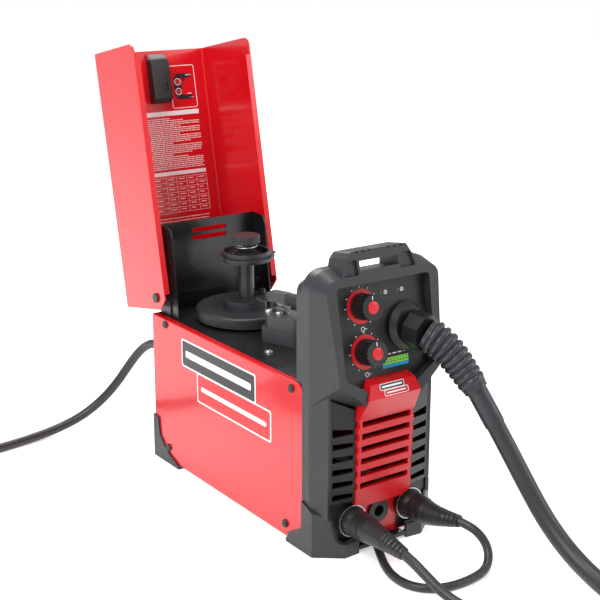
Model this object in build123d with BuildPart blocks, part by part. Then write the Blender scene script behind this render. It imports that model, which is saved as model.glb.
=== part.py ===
"""Mig welding machine: case, front, lid, spool holder, wire drive, electronics and cords. Millimetres."""
import os
from math import cos, pi, radians, sin, tan

from build123d import *

os.makedirs("parts", exist_ok=True)

# Frame: X to the right, Y to the rear, Z up. The origin is below the middle of the machine, on the floor.
front_y = -187.3             # front edge of the case's side panels
case = Plane(origin=(0, front_y, 0))
front = Plane(origin=(0, front_y, 0), x_dir=(1, 0, 0), z_dir=(0, -1, 0))
side = Plane(origin=(0, front_y, 0), x_dir=(0, 1, 0), z_dir=(1, 0, 0))

# Case
sheet = 1.5                  # steel sheet
half_width = 75.0            # outside of the side panels
inner_half = half_width - sheet
case_length = 305.2
deck_top = 178.75
floor_gap = 6.0              # below the base pan
flange_start = 12.0          # the side panels' top flange starts behind the bezel's lip
flange_end = 303.5
flange_width = 7.5
rear_inner = case_length - sheet
screw_places = ((18, 171), (274.6, 172.5), (29.3, 18.5), (274.2, 19.8))
screw_shank = 2.0
screw_head = 4.0
screw_clearance = 0.05

# Lid, stored open
lid_angle = 101.4
hinge_y = 290.3
hinge_z = 201.3
lid_cos = cos(radians(lid_angle))
lid_sin = sin(radians(lid_angle))
hinge_point = (0, front_y + hinge_y, hinge_z)
lid_side = Plane(origin=hinge_point, x_dir=(0, lid_cos, -lid_sin), z_dir=(1, 0, 0))
lid_front = Plane(origin=hinge_point, x_dir=(1, 0, 0), z_dir=(0, -lid_cos, lid_sin))
lid_level = Plane(origin=hinge_point, x_dir=(1, 0, 0), z_dir=(0, lid_sin, lid_cos))
lid_reach = 289.6            # from the hinge to the lid's front edge
lid_tail = 14.1              # from the hinge to its rear edge
lid_top = 85.2               # outside of the lid's top above the hinge, when closed
lid_foot = -20.8             # free edge of its sides
lid_half_top = 75.0
lid_half_foot = 77.5
hinge_pin = 3.0
hinge_pin_gap = 0.05

# Front
rim = Plane(origin=(0, front_y - 33, 283), x_dir=(1, 0, 0), z_dir=(0, -0.986, 0.164))
rim_rise = 0.986
panel_depth = 10.0           # control panel below the bezel's rim
panel_sheet = 3.0
panel_face = rim.offset(-panel_depth)
panel_face_z = 283 - panel_depth * 0.164
knob_places = ((-23.4, 258.7), (-23.0, 213.8))
knob_shaft = 3.0
gun_place = (31.0, 231.0)
indicator_places = ((2, 268), (22.6, 268))

# Spool holder
spindle = Plane(origin=(7, front_y + 228, 0))
stud_radius = 8.7
running_gap = 0.05

# Wire drive, turned on the deck
drive = Plane(origin=(-26.6, front_y + 141, deck_top), x_dir=(0.947, 0.322, 0), z_dir=(0, 0, 1))
drive_side = Plane(origin=(-26.6, front_y + 141, deck_top), x_dir=(-0.322, 0.947, 0), z_dir=(0.947, 0.322, 0))
drive_front = Plane(origin=(-26.6, front_y + 141, deck_top), x_dir=(0.947, 0.322, 0), z_dir=(0.322, -0.947, 0))
wire_x = 21.0
wire_z = 36.6
roll_y = -8.0
roll_gap = 0.45              # from the wire's line to each roll
drive_roll_radius = 12.5
pressure_roll_radius = 5.5
arm_z = 46.25
arm_pivot_y = 5.0


def prism(plane, outline, depth, mode=Mode.ADD, corner=0.0):
    """A closed outline on a plane, raised by depth, with its corners rounded if asked."""
    with BuildSketch(plane) as section:
        Polygon(*outline)
        if corner > 0:
            fillet(section.vertices(), corner)
    extrude(section.sketch, amount=depth, mode=mode)


def bar(plane, across, along, depth, mode=Mode.ADD, corner=0.0):
    """A rectangle between two pairs of limits on a plane, raised by depth."""
    outline = [(across[0], along[0]), (across[1], along[0]), (across[1], along[1]), (across[0], along[1])]
    prism(plane, outline, depth, mode, corner)


def rod(plane, centre, radius, depth, mode=Mode.ADD):
    """A round bar, or hole, standing on a plane."""
    with BuildSketch(plane) as section:
        with Locations(centre):
            Circle(radius)
    extrude(section.sketch, amount=depth, mode=mode)


def ribbed_rod(plane, centre, radius, groove, count, depth):
    """A round grip with round-bottomed grooves along it."""
    with BuildSketch(plane) as section:
        with Locations(centre):
            Circle(radius)
            with PolarLocations(radius + groove * 0.4, count):
                Circle(groove, mode=Mode.SUBTRACT)
    extrude(section.sketch, amount=depth)


def mirrored(outline):
    """The same outline on the other side of the machine's centre plane."""
    return [(-u, v) for u, v in reversed(outline)]


def panel_point(x, z):
    """Control panel coordinates of a point at a given height."""
    return (x, (z - panel_face_z) / rim_rise)


def rim_point(x, z):
    """Rim coordinates of a point at a given height."""
    return (x, (z - 283) / rim_rise)


# Base pan: a folded tray with cooling slots
pan_flange = 30.0
with BuildPart() as base_pan:
    prism(front, [(-inner_half, floor_gap), (inner_half, floor_gap), (inner_half, pan_flange),
                  (inner_half - sheet, pan_flange), (inner_half - sheet, floor_gap + sheet),
                  (-inner_half + sheet, floor_gap + sheet), (-inner_half + sheet, pan_flange),
                  (-inner_half, pan_flange)], 2 - rear_inner)
    bar(front, (-inner_half, inner_half), (floor_gap, pan_flange + 1), -2, Mode.SUBTRACT)
    for slot in range(9):
        slot_y = 92 + slot * 15
        bar(case.offset(floor_gap), (-38, 38), (slot_y, slot_y + 6), sheet, Mode.SUBTRACT, 2.5)
    for screw_y, screw_z in screw_places[2:]:
        rod(side.offset(-half_width), (screw_y, screw_z), screw_shank + screw_clearance, 2 * half_width,
            Mode.SUBTRACT)
base_pan.part.label = "base_pan"
export_step(base_pan.part, "parts/base_pan.step")


# Side panels: tall sheets with a top flange that the deck hangs from
def side_panel(hand):
    """One side panel: hand is 1 on the right and -1 on the left."""
    outline = [(inner_half, 5), (half_width, 5), (half_width, deck_top), (half_width - flange_width, deck_top),
               (half_width - flange_width, deck_top - sheet), (inner_half, deck_top - sheet)]
    if hand < 0:
        outline = mirrored(outline)
    with BuildPart() as panel:
        prism(front, outline, -case_length)
        flange_cut = sorted((hand * (half_width - flange_width - 1), hand * inner_half))
        bar(case.offset(deck_top - sheet), flange_cut, (-1, flange_start), sheet, Mode.SUBTRACT)
        bar(case.offset(deck_top - sheet), flange_cut, (flange_end, case_length + 1), sheet, Mode.SUBTRACT)
        bend = panel.edges().filter_by(Axis.Y).group_by(Axis.Z)[-1]
        fillet(bend.sort_by(Axis.X)[-1 if hand > 0 else 0], 1.4)
        corner = [(-1, deck_top + 1), (-1, deck_top - 7), (0, deck_top - 7), (0.7, deck_top - 4),
                  (2.2, deck_top - 1.8), (4.5, deck_top - 0.4), (7, deck_top), (7, deck_top + 1)]
        prism(side.offset(hand * (inner_half - 1)), corner, hand * 4, Mode.SUBTRACT)
        for screw_y, screw_z in screw_places:
            rod(side.offset(hand * inner_half), (screw_y, screw_z), screw_shank + screw_clearance, hand * sheet,
                Mode.SUBTRACT)
    return panel


left_side_panel = side_panel(-1)
left_side_panel.part.label = "left_side_panel"
export_step(left_side_panel.part, "parts/left_side_panel.step")
right_side_panel = side_panel(1)
right_side_panel.part.label = "right_side_panel"
export_step(right_side_panel.part, "parts/right_side_panel.step")

# Rear panel with the fan's slots, the switch's cut-out and the cord's hole
fan_centre = (14.0, 72.0)
fan_opening = 33.0
switch_centre = (38.0, 140.0)
switch_half = (10.0, 14.0)
cord_hole = (-50.0, 127.5)
gland_thread = 8.0
with BuildPart() as rear_panel:
    bar(front.offset(-rear_inner), (-inner_half, inner_half), (floor_gap, deck_top), -sheet)
    bar(case.offset(floor_gap + sheet), (-68, 68), (rear_inner - 14, rear_inner), sheet)
    for row in range(-4, 5):
        slot_z = fan_centre[1] + row * 7
        reach = (fan_opening ** 2 - (row * 7) ** 2) ** 0.5
        bar(front.offset(-rear_inner), (fan_centre[0] - reach, fan_centre[0] + reach), (slot_z - 2, slot_z + 2),
            -sheet, Mode.SUBTRACT, 1.5)
    bar(front.offset(-rear_inner), (switch_centre[0] - switch_half[0], switch_centre[0] + switch_half[0]),
        (switch_centre[1] - switch_half[1], switch_centre[1] + switch_half[1]), -sheet, Mode.SUBTRACT)
    rod(front.offset(-rear_inner), cord_hole, gland_thread, -sheet, Mode.SUBTRACT)
rear_panel.part.label = "rear_panel"
export_step(rear_panel.part, "parts/rear_panel.step")

# Deck plate, stepped down under the side panels' flanges
deck_half = 67.2
motor_centre = (33.0, -16.0)
worm_hole = 6.0
stud_bolt = 4.0
deck_screw = (-43.0, 107.0)
with BuildPart() as deck_plate:
    lower = deck_top - sheet
    half_outline = [(deck_half, deck_top), (deck_half, lower), (inner_half, lower), (inner_half, 160),
                    (inner_half - sheet, 160), (inner_half - sheet, lower - sheet),
                    (deck_half - sheet, lower - sheet), (deck_half - sheet, lower)]
    prism(front.offset(-flange_start - 0.2), half_outline + mirrored(half_outline), 12.2 - flange_end)
    rod(drive.offset(-sheet), motor_centre, worm_hole, sheet, Mode.SUBTRACT)
    rod(spindle.offset(deck_top - sheet), (0, 0), stud_bolt + screw_clearance, sheet, Mode.SUBTRACT)
    rod(case.offset(deck_top - sheet), deck_screw, screw_shank + screw_clearance, sheet, Mode.SUBTRACT)
    for screw_y, screw_z in screw_places[:2]:
        rod(side.offset(-half_width), (screw_y, screw_z), screw_shank + screw_clearance, 2 * half_width,
            Mode.SUBTRACT)
deck_plate.part.label = "deck_plate"
export_step(deck_plate.part, "parts/deck_plate.step")

# Hinge bracket: a band across the deck with an ear and a bush at each end
bracket_half = 66.0
band_front = 299.0
band_top = 200.0
bush_radius = 6.0
bush_end = 75.25
with BuildPart() as hinge_bracket:
    bar(front.offset(-band_front), (-bracket_half, bracket_half), (deck_top, band_top), -sheet)
    ear = [(278, deck_top), (band_front + sheet, deck_top), (band_front + sheet, 208), (296, 212), (284, 212),
           (278, 206)]
    for hand in (-1, 1):
        prism(side.offset(hand * (bracket_half - sheet)), ear, hand * sheet)
        rod(side.offset(hand * bracket_half), (hinge_y, hinge_z), bush_radius, hand * (bush_end - bracket_half))
    rod(side.offset(-bush_end - 1), (hinge_y, hinge_z), hinge_pin + hinge_pin_gap, 2 * bush_end + 2, Mode.SUBTRACT)
hinge_bracket.part.label = "hinge_bracket"
export_step(hinge_bracket.part, "parts/hinge_bracket.step")

# Rear bulkhead: slotted wall behind the spool with a wing along each side
wall_half = 64.3
wall_top = 284.0
wall_front = band_front + sheet
with BuildPart() as rear_bulkhead:
    bar(front.offset(-wall_front), (-wall_half, wall_half), (deck_top, wall_top), -sheet)
    wing = [(262, deck_top), (wall_front + sheet, deck_top), (wall_front + sheet, wall_top), (284, wall_top),
            (277, 281), (273.7, 274)]
    for hand in (-1, 1):
        prism(side.offset(hand * (wall_half - sheet)), wing, hand * sheet)
    for slot_z in (262.8, 272.0):
        bar(front.offset(-wall_front), (-21, 25), (slot_z - 2.8, slot_z + 2.8), -sheet, Mode.SUBTRACT)
    bar(case.offset(deck_top - 1), (-wall_half - 1, wall_half + 1), (band_front - 0.2, wall_front),
        band_top + 1.2 - deck_top, Mode.SUBTRACT)
    rod(side.offset(-wall_half - 1), (hinge_y, hinge_z), 6.8, 2 * wall_half + 2, Mode.SUBTRACT)
rear_bulkhead.part.label = "rear_bulkhead"
export_step(rear_bulkhead.part, "parts/rear_bulkhead.step")

# Pan-head screws of the case, one group
screw_rise = 2.2
with BuildPart() as case_screws:
    for hand in (-1, 1):
        for screw_y, screw_z in screw_places:
            rod(side.offset(hand * half_width), (screw_y, screw_z), screw_head, hand * screw_rise)
            rod(side.offset(hand * (half_width - 4.5)), (screw_y, screw_z), screw_shank, hand * 4.5)
    rod(case.offset(deck_top), deck_screw, screw_head, screw_rise)
    rod(case.offset(deck_top - 5), deck_screw, screw_shank, 5)
case_screws.part.label = "case_screws"
export_step(case_screws.part, "parts/case_screws.step")


# Front bezel: a tapered frame with a carrying handle, a lip inside the lid and a pillar at each side
bezel_step = 12.0
bezel_top = 297.0
lip_half = 73.0
lip_top = 284.0
lip_wall = 3.5
lip_back_wall = 3.0
lip_foot = 42.0
pillar_top = 175.0
grip_across = (-28.0, 20.0)
grip_slot = [(-60, 301.6), (-60, 305.5), (1, 305.5), (1, 290)]
handle_outline = [(-52, 285), (-44.3, 309), (-38, 315.5), (31, 315.5), (50, 285)]
handle_pockets = ([(-47, 292), (-42.5, 307.3), (-31.6, 307.3), (-29.4, 292)],
                  [(21.4, 292), (23.6, 307.3), (35, 307.3), (41.5, 292)])
shoulder_outline = [(-75, 160), (-75, bezel_top), (75, bezel_top), (75, 160), (31, 150), (-31, 150)]
rim_outline = [rim_point(-64, 189), rim_point(-70.5, 291), rim_point(70.5, 291), rim_point(64, 189),
               rim_point(31, 163), rim_point(-31, 163)]
recess = [rim_point(-58, 283), rim_point(58, 283), rim_point(56, 193), rim_point(30, 178), rim_point(-30, 178),
          rim_point(-56, 193)]
cavity = [rim_point(-55, 280), rim_point(55, 280), rim_point(53, 195), rim_point(28.5, 181),
          rim_point(-28.5, 181), rim_point(-53, 195)]
pillar = [(75, 0), (75, -12), (66, -32), (62.5, -31.5), (63.3, -28.5), (71.5, -10.5), (71.5, 0)]
nose_sides = [(-35.6, 40), (-35.6, 148), (-33, 170), (-26.5, 188), (26.5, 188), (33, 170), (35.6, 148), (35.6, 40)]
nose_seat = [(-35.6, 40), (-35.6, 148), (-33.2, 168), (33.2, 168), (35.6, 148), (35.6, 40)]
latch_notch = (-10.0, 19.5)
socket_tube = 9.0


def rounded_top(plane, outline, corner):
    """An outline on a plane with its two highest corners rounded."""
    with BuildSketch(plane) as section:
        Polygon(*outline)
        fillet(section.vertices().group_by(Axis.Y)[-1], corner)
    return section.sketch


with BuildPart() as front_bezel:
    extrude(rounded_top(front, shoulder_outline, 20), amount=bezel_step)
    loft([rounded_top(front.offset(bezel_step), shoulder_outline, 20), rounded_top(rim, rim_outline, 12)], ruled=True)
    prism(rim, [rim_point(*place) for place in handle_outline], -27, corner=4)
    prism(rim.offset(1), recess, -panel_depth - panel_sheet - 1, Mode.SUBTRACT, 5)
    prism(rim, cavity, -64, Mode.SUBTRACT, 5)
    prism(side.offset(grip_across[0]), grip_slot, grip_across[1] - grip_across[0], Mode.SUBTRACT)
    for pocket in handle_pockets:
        prism(rim.offset(1), [rim_point(*place) for place in pocket], -4, Mode.SUBTRACT, 1.5)
    for step in (-27, -19.5, -12, 12, 19.5, 27):
        groove = (step - 3.9, step - 2.1)
        bar(rim, groove, (rim_point(0, 313.2)[1], rim_point(0, 320)[1]), -28, Mode.SUBTRACT)
    # Lip that the closed lid rests over, with a back wall above the deck
    extrude(rounded_top(front, [(-lip_half, lip_foot), (-lip_half, lip_top), (lip_half, lip_top),
                                (lip_half, lip_foot)], 12), amount=-bezel_step)
    lip_inside = [(-lip_half + lip_wall, lip_foot - 1), (-lip_half + lip_wall, lip_top - lip_wall),
                  (lip_half - lip_wall, lip_top - lip_wall), (lip_half - lip_wall, lip_foot - 1)]
    extrude(rounded_top(front, lip_inside, 9), amount=-(bezel_step - lip_back_wall), mode=Mode.SUBTRACT)
    bar(front, (-lip_half + lip_wall, lip_half - lip_wall), (lip_foot - 1, deck_top + 0.2), -bezel_step - 1,
        Mode.SUBTRACT)
    bar(front.offset(-2.5), latch_notch, (268, lip_top + 1), -bezel_step, Mode.SUBTRACT)
    rod(panel_face, panel_point(*gun_place), socket_tube + 2, -60, Mode.SUBTRACT)
    for outline in (pillar, mirrored(pillar)):
        prism(case.offset(lip_foot), outline, pillar_top - lip_foot)
    # Seat of the nose
    prism(front.offset(33.8), nose_seat, 40, Mode.SUBTRACT)
    prism(front.offset(41.2), nose_sides, 40, Mode.SUBTRACT)
front_bezel.part.label = "front_bezel"
export_step(front_bezel.part, "parts/front_bezel.step")

# Control panel in the bezel's recess
panel_outline = [(-57.7, 282.7), (57.7, 282.7), (55.7, 193.2), (29.9, 178.4), (-29.9, 178.4), (-55.7, 193.2)]
with BuildPart() as control_panel:
    prism(panel_face, [rim_point(*place) for place in panel_outline], -panel_sheet, corner=4.7)
    for place in knob_places:
        rod(panel_face, panel_point(*place), knob_shaft + running_gap, -panel_sheet, Mode.SUBTRACT)
    for place in indicator_places:
        rod(panel_face, panel_point(*place), 1.6, -panel_sheet, Mode.SUBTRACT)
    rod(panel_face, panel_point(*gun_place), socket_tube + 1, -panel_sheet, Mode.SUBTRACT)
control_panel.part.label = "control_panel"
export_step(control_panel.part, "parts/control_panel.step")

# Control board with its two potentiometers and indicators
board_back = 11.0
board_sheet = 1.6
shaft_out = 13.0
with BuildPart() as control_board:
    bar(panel_face.offset(-board_back), (-44, 18), (panel_point(0, 196)[1], panel_point(0, 276)[1]), -board_sheet,
        corner=2)
    for place in knob_places:
        rod(panel_face.offset(-board_back), panel_point(*place), 8, board_back - panel_sheet)
        rod(panel_face.offset(-board_back), panel_point(*place), knob_shaft, board_back + shaft_out)
    rod(panel_face.offset(-board_back), panel_point(*indicator_places[0]), 1.5, board_back + 0.5)
    rod(panel_face.offset(-panel_sheet - 5), panel_point(*indicator_places[1]), 1.5, panel_sheet + 5.5)
    bar(panel_face.offset(-board_back), (14, 25), (panel_point(0, 265)[1], panel_point(0, 271)[1]), 4)
control_board.part.label = "control_board"
export_step(control_board.part, "parts/control_board.step")


# Control knobs: skirt and ribbed grip
def control_knob(place):
    """A ribbed knob with a blind hole for its shaft."""
    with BuildPart() as knob:
        rod(panel_face.offset(0.5), panel_point(*place), 13.4, 4)
        ribbed_rod(panel_face.offset(4.5), panel_point(*place), 13, 1.3, 18, 15.5)
        bar(panel_face.offset(19.6), (panel_point(*place)[0] - 0.8, panel_point(*place)[0] + 0.8),
            (panel_point(*place)[1] + 7.5, panel_point(*place)[1] + 11.5), 0.4, Mode.SUBTRACT)
        rod(panel_face.offset(0.5), panel_point(*place), knob_shaft + running_gap, shaft_out, Mode.SUBTRACT)
    return knob


upper_knob = control_knob(knob_places[0])
upper_knob.part.label = "upper_knob"
export_step(upper_knob.part, "parts/upper_knob.step")
lower_knob = control_knob(knob_places[1])
lower_knob.part.label = "lower_knob"
export_step(lower_knob.part, "parts/lower_knob.step")

# Nose and louvre column, one moulding
nose_profile = [(-38, 50), (-42, 146), (-55, 170), (-50, 184), (-39.2, 187.3), (-40.8, 177.2), (-41.4, 176.8),
                (-41.4, 167.8), (-34, 167.6), (-36, 146), (-32, 50)]
column_half = 35.3
louvre_pitch = 13.65
socket_centres = ((-37.0, 36.5), (37.0, 36.5))
with BuildPart() as nose_grille:
    prism(side.offset(-column_half), nose_profile, 2 * column_half)
    inset_sides = [(-column_half, 40), (-column_half, 148), (-32.7, 170), (-26.2, 187.8), (26.2, 187.8),
                   (32.7, 170), (column_half, 148), (column_half, 40)]
    prism(front.offset(20), inset_sides, 50, Mode.INTERSECT)
    for row in range(6):
        slot_z = 141 - row * 13.44
        bar(front.offset(20), (-30.8, 30.8), (slot_z - 3.25, slot_z + 3.25), 40, Mode.SUBTRACT, 1.2)
        for hand in (-1, 1):
            notch = sorted((hand * 33.8, hand * (column_half + 1)))
            bar(front.offset(20), notch, (slot_z - 3.25, slot_z + 3.25), 40, Mode.SUBTRACT)
    for centre in socket_centres:
        rod(front.offset(20), centre, 17.4, 40, Mode.SUBTRACT)
nose_grille.part.label = "nose_grille"
export_step(nose_grille.part, "parts/nose_grille.step")

# Side louvres between the column and the pillars, a pair
louvre_plan = [(62.3, -31.4), (35.7, -36.6), (36.2, -33.9), (61.8, -28.9)]
with BuildPart() as side_louvres:
    for hand in (-1, 1):
        plan = louvre_plan if hand > 0 else mirrored(louvre_plan)
        prism(case.offset(58), plan, 114)
    for hand in (-1, 1):
        above = [(34, 155), (64, 170), (64, 180), (34, 180)]
        prism(front, above if hand > 0 else mirrored(above), 60, Mode.SUBTRACT)
        for row in range(6):
            slot_z = 133.4 - row * louvre_pitch
            tall = 5.5 if row == 0 else 3.4
            wedge = [(37.6, slot_z - 2.4), (37.6, slot_z + 2.4), (60.3, slot_z + tall), (60.3, slot_z - 3.4)]
            prism(front, wedge if hand > 0 else mirrored(wedge), 60, Mode.SUBTRACT, 0.8)
side_louvres.part.label = "side_louvres"
export_step(side_louvres.part, "parts/side_louvres.step")

# Socket plate: red wall behind the two sockets, with a foot on the base pan
plate_front = 29.0
plate_sheet = 3.0
socket_core = 12.5
grommet_centre = (0.0, 36.0)
polarity_exit = (-10.5, 16.0)
with BuildPart() as socket_plate:
    bar(front.offset(plate_front), (-63, 63), (floor_gap + sheet, 57.8), -plate_sheet)
    bar(case.offset(floor_gap + sheet), (-60, 60), (-plate_front + plate_sheet, 20), sheet)
    for centre in socket_centres:
        rod(front.offset(plate_front), centre, socket_core, -plate_sheet, Mode.SUBTRACT)
    rod(front.offset(plate_front), grommet_centre, 10, -plate_sheet, Mode.SUBTRACT)
    rod(front.offset(plate_front), polarity_exit, 6, -plate_sheet, Mode.SUBTRACT)
socket_plate.part.label = "socket_plate"
export_step(socket_plate.part, "parts/socket_plate.step")

# Tray below the sockets
with BuildPart() as socket_tray:
    bar(case.offset(4), (-30.6, 30.6), (-40, 12), 2)
    bar(case.offset(4), (-30.6, 30.6), (-40, -38), 4)
socket_tray.part.label = "socket_tray"
export_step(socket_tray.part, "parts/socket_tray.step")

# Output sockets for the twist-lock plugs, a pair
collar_front = 36.0
collar_radius = 16.0
plug_pin = 6.9
with BuildPart() as output_sockets:
    for centre in socket_centres:
        rod(front.offset(plate_front), centre, collar_radius, collar_front - plate_front)
        rod(front.offset(plate_front), centre, socket_core, -26)
        rod(front.offset(collar_front), centre, plug_pin + running_gap, -20, Mode.SUBTRACT)
        rod(front.offset(plate_front - 26), centre, 5, -10)
output_sockets.part.label = "output_sockets"
export_step(output_sockets.part, "parts/output_sockets.step")

# Grommets of the front: a plain one in the middle and the polarity lead's
with BuildPart() as front_grommets:
    rod(front.offset(plate_front), grommet_centre, 12.5, 3)
    rod(front.offset(plate_front), grommet_centre, 10, -plate_sheet - 2)
    rod(front.offset(plate_front + 3), grommet_centre, 6, -10, Mode.SUBTRACT)
    rod(front.offset(plate_front), polarity_exit, 8, 2)
    rod(front.offset(plate_front), polarity_exit, 6, -plate_sheet - 2)
front_grommets.part.label = "front_grommets"
export_step(front_grommets.part, "parts/front_grommets.step")

# Front feet: moulded corners, a pair
foot_half = 77.0
foot_plan = [(71.5, -1.5), (foot_half, -1.5), (foot_half, -20), (50, -41), (31, -39.5), (31, -36), (49, -37),
             (61, -30.7), (64, -28.7), (71.5, -12)]
foot_sole = [(66, 26.4), (foot_half, 26.4), (foot_half, -20), (50, -41), (34, -39.7), (34, -30), (58, -22),
             (66, 0)]
pillar_room = [(75.1, 0), (75.1, -12), (66.1, -32.1), (62.3, -31.6), (63.1, -28.4), (71.3, -10.4), (71.3, 0)]
with BuildPart() as front_feet:
    for hand in (-1, 1):
        prism(case, foot_plan if hand > 0 else mirrored(foot_plan), 56)
    prism(side.offset(-foot_half - 1), [(-1, 56), (-1.5, 56), (-31, 44), (-34.2, 20), (-37, 16), (-43, 14),
                                        (-43, 60), (-1, 60)], 2 * foot_half + 2, Mode.SUBTRACT)
    for hand in (-1, 1):
        prism(case.offset(lip_foot - 0.2), pillar_room if hand > 0 else mirrored(pillar_room), 20, Mode.SUBTRACT)
        prism(side.offset(hand * (half_width + 0.05)), [(26.4, 0), (21, 13), (3.7, 22.3), (-1.5, 27), (-1.5, 0)],
              hand * (foot_half - half_width - 0.05))
        prism(case, foot_sole if hand > 0 else mirrored(foot_sole), 4)
front_feet.part.label = "front_feet"
export_step(front_feet.part, "parts/front_feet.step")

# Rear feet: moulded corners, a pair
rear_foot_end = 307.6
with BuildPart() as rear_feet:
    for hand in (-1, 1):
        cheek = [(250, 0), (255, 6), (272, 12), (283, 20), (293.6, 30), (296, 51), (rear_foot_end, 53),
                 (rear_foot_end, 0)]
        prism(side.offset(hand * (half_width + 0.05)), cheek, hand * (foot_half - half_width - 0.05))
        back = [(52, 0), (56, 30), (66, 52), (foot_half, 53), (foot_half, 0)]
        prism(front.offset(-case_length - 0.05), back if hand > 0 else mirrored(back),
              case_length + 0.05 - rear_foot_end)
        across = sorted((hand * 60, hand * foot_half))
        bar(case, across, (250, rear_foot_end), 4.8)
rear_feet.part.label = "rear_feet"
export_step(rear_feet.part, "parts/rear_feet.step")

# Gun connector: flange and drooping faceted barrel in front of the panel, a tube back to the wire drive
flange_radius = 25.4
barrel_start = (32.2, front_y - 40.0, 230.2)
barrel_end = (36.0, front_y - 58.0, 228.0)
barrel = Plane(origin=barrel_start, z_dir=Vector(*barrel_end) - Vector(*barrel_start))
barrel_length = (Vector(*barrel_end) - Vector(*barrel_start)).length
with BuildPart() as gun_socket:
    rod(panel_face, panel_point(*gun_place), flange_radius, 4)
    with BuildSketch(panel_face.offset(4)) as cone_foot:
        with Locations(panel_point(*gun_place)):
            Circle(flange_radius - 0.5)
    extrude(cone_foot.sketch, amount=4.5, taper=50)
    with BuildSketch(barrel) as barrel_section:
        RegularPolygon(19.5, 8, rotation=22.5)
    extrude(barrel_section.sketch, amount=barrel_length)
    rod(panel_face, panel_point(*gun_place), socket_tube, -48)
    rod(panel_face.offset(-48), panel_point(*gun_place), 2, 20, Mode.SUBTRACT)
gun_socket.part.label = "gun_socket"
export_step(gun_socket.part, "parts/gun_socket.step")

# Lid: a folded sheet, open, with its sides splayed and returned at their free edges
return_edge = 70.5
splay = (lid_half_foot - lid_half_top) / (lid_top - lid_foot)
foot_inside = lid_half_foot - sheet * (1 + splay)
top_inside = lid_half_top - sheet * (1 - splay)
lid_section = [(lid_half_top, lid_top), (lid_half_foot, lid_foot), (return_edge, lid_foot),
               (return_edge, lid_foot + sheet), (foot_inside, lid_foot + sheet), (top_inside, lid_top - sheet)]
with BuildPart() as lid_shell:
    with BuildSketch(lid_front.offset(lid_reach)) as folded:
        Polygon(*(lid_section + mirrored(lid_section)))
        fillet(folded.vertices().group_by(Axis.Y)[-1], 4)
        fillet(folded.vertices().group_by(Axis.Y)[-2], 2.5)
    extrude(folded.sketch, amount=-lid_reach - lid_tail)
    across = (-lid_half_foot - 1, 2 * lid_half_foot + 2)
    for cut in ([(-lid_reach - 1, lid_foot + 10), (-lid_reach - 1, lid_foot - 1), (-lid_reach + 10, lid_foot - 1),
                 (-lid_reach + 10, lid_foot), (-lid_reach + 6, lid_foot + 0.9), (-lid_reach + 2.9, lid_foot + 2.9),
                 (-lid_reach + 0.9, lid_foot + 6), (-lid_reach, lid_foot + 10)],
                [(lid_tail + 1, lid_foot - 1), (lid_tail + 1, lid_foot + 14), (lid_tail, lid_foot + 14),
                 (lid_tail - 12, lid_foot), (lid_tail - 12, lid_foot - 1)]):
        prism(lid_side.offset(across[0]), cut, across[1], Mode.SUBTRACT)
    for along in ((-lid_reach - 1, -lid_reach + 20), (-4, lid_tail + 1)):
        for hand in (-1, 1):
            inward = sorted((hand * (return_edge - 1), hand * (foot_inside - 0.05)))
            bar(lid_level.offset(lid_foot - 1), inward, along, sheet + 1.1, Mode.SUBTRACT)
    rod(lid_side.offset(across[0]), (0, 0), hinge_pin + hinge_pin_gap, across[1], Mode.SUBTRACT)
lid_shell.part.label = "lid_shell"
export_step(lid_shell.part, "parts/lid_shell.step")

# Hinge screws with their nuts, a pair
screw_seat = 77.15
with BuildPart() as hinge_screws:
    for hand in (-1, 1):
        rod(side.offset(hand * 64.4), (hinge_y, hinge_z), hinge_pin, hand * (screw_seat - 64.4))
        rod(side.offset(hand * screw_seat), (hinge_y, hinge_z), 5.5, hand * screw_rise)
        with BuildSketch(side.offset(hand * (bracket_half - sheet))) as nut:
            with Locations((hinge_y, hinge_z)):
                RegularPolygon(5, 6)
        extrude(nut.sketch, amount=-hand * 4.5)
hinge_screws.part.label = "hinge_screws"
export_step(hinge_screws.part, "parts/hinge_screws.step")

# Lid latch: housing with a pocket, and the sprung bolt that slides in it
latch_across = (-7.5, 17.0)
latch_start = 12.0 - hinge_y
latch_end = 64.5 - hinge_y
latch_roof = lid_top - sheet
latch_depth = 13.0
bolt_across = (-6.2, 15.7)
bolt_start = 5.0 - hinge_y
with BuildPart() as latch_housing:
    profile = [(latch_start, latch_roof), (latch_start, latch_roof - 10), (latch_start + 5, latch_roof - latch_depth),
               (latch_end - 5, latch_roof - latch_depth), (latch_end, latch_roof - 7), (latch_end, latch_roof)]
    prism(lid_side.offset(latch_across[0]), profile, latch_across[1] - latch_across[0])
    pocket = (bolt_across[0] - 0.3, bolt_across[1] + 0.3)
    bar(lid_level.offset(latch_roof - 9.3), pocket, (latch_start - 1, latch_start + 24), 8, Mode.SUBTRACT)
    bar(lid_level.offset(latch_roof - latch_depth), (3, 12), (latch_start + 28, latch_start + 38), 1.2,
        Mode.SUBTRACT, 2)
latch_housing.part.label = "latch_housing"
export_step(latch_housing.part, "parts/latch_housing.step")
with BuildPart() as latch_bolt:
    profile = [(bolt_start, latch_roof - 1.6), (bolt_start, latch_roof - 3), (bolt_start + 5, latch_roof - 9),
               (bolt_start + 24, latch_roof - 9), (bolt_start + 24, latch_roof - 1.6)]
    prism(lid_side.offset(bolt_across[0]), profile, bolt_across[1] - bolt_across[0])
latch_bolt.part.label = "latch_bolt"
export_step(latch_bolt.part, "parts/latch_bolt.step")

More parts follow.
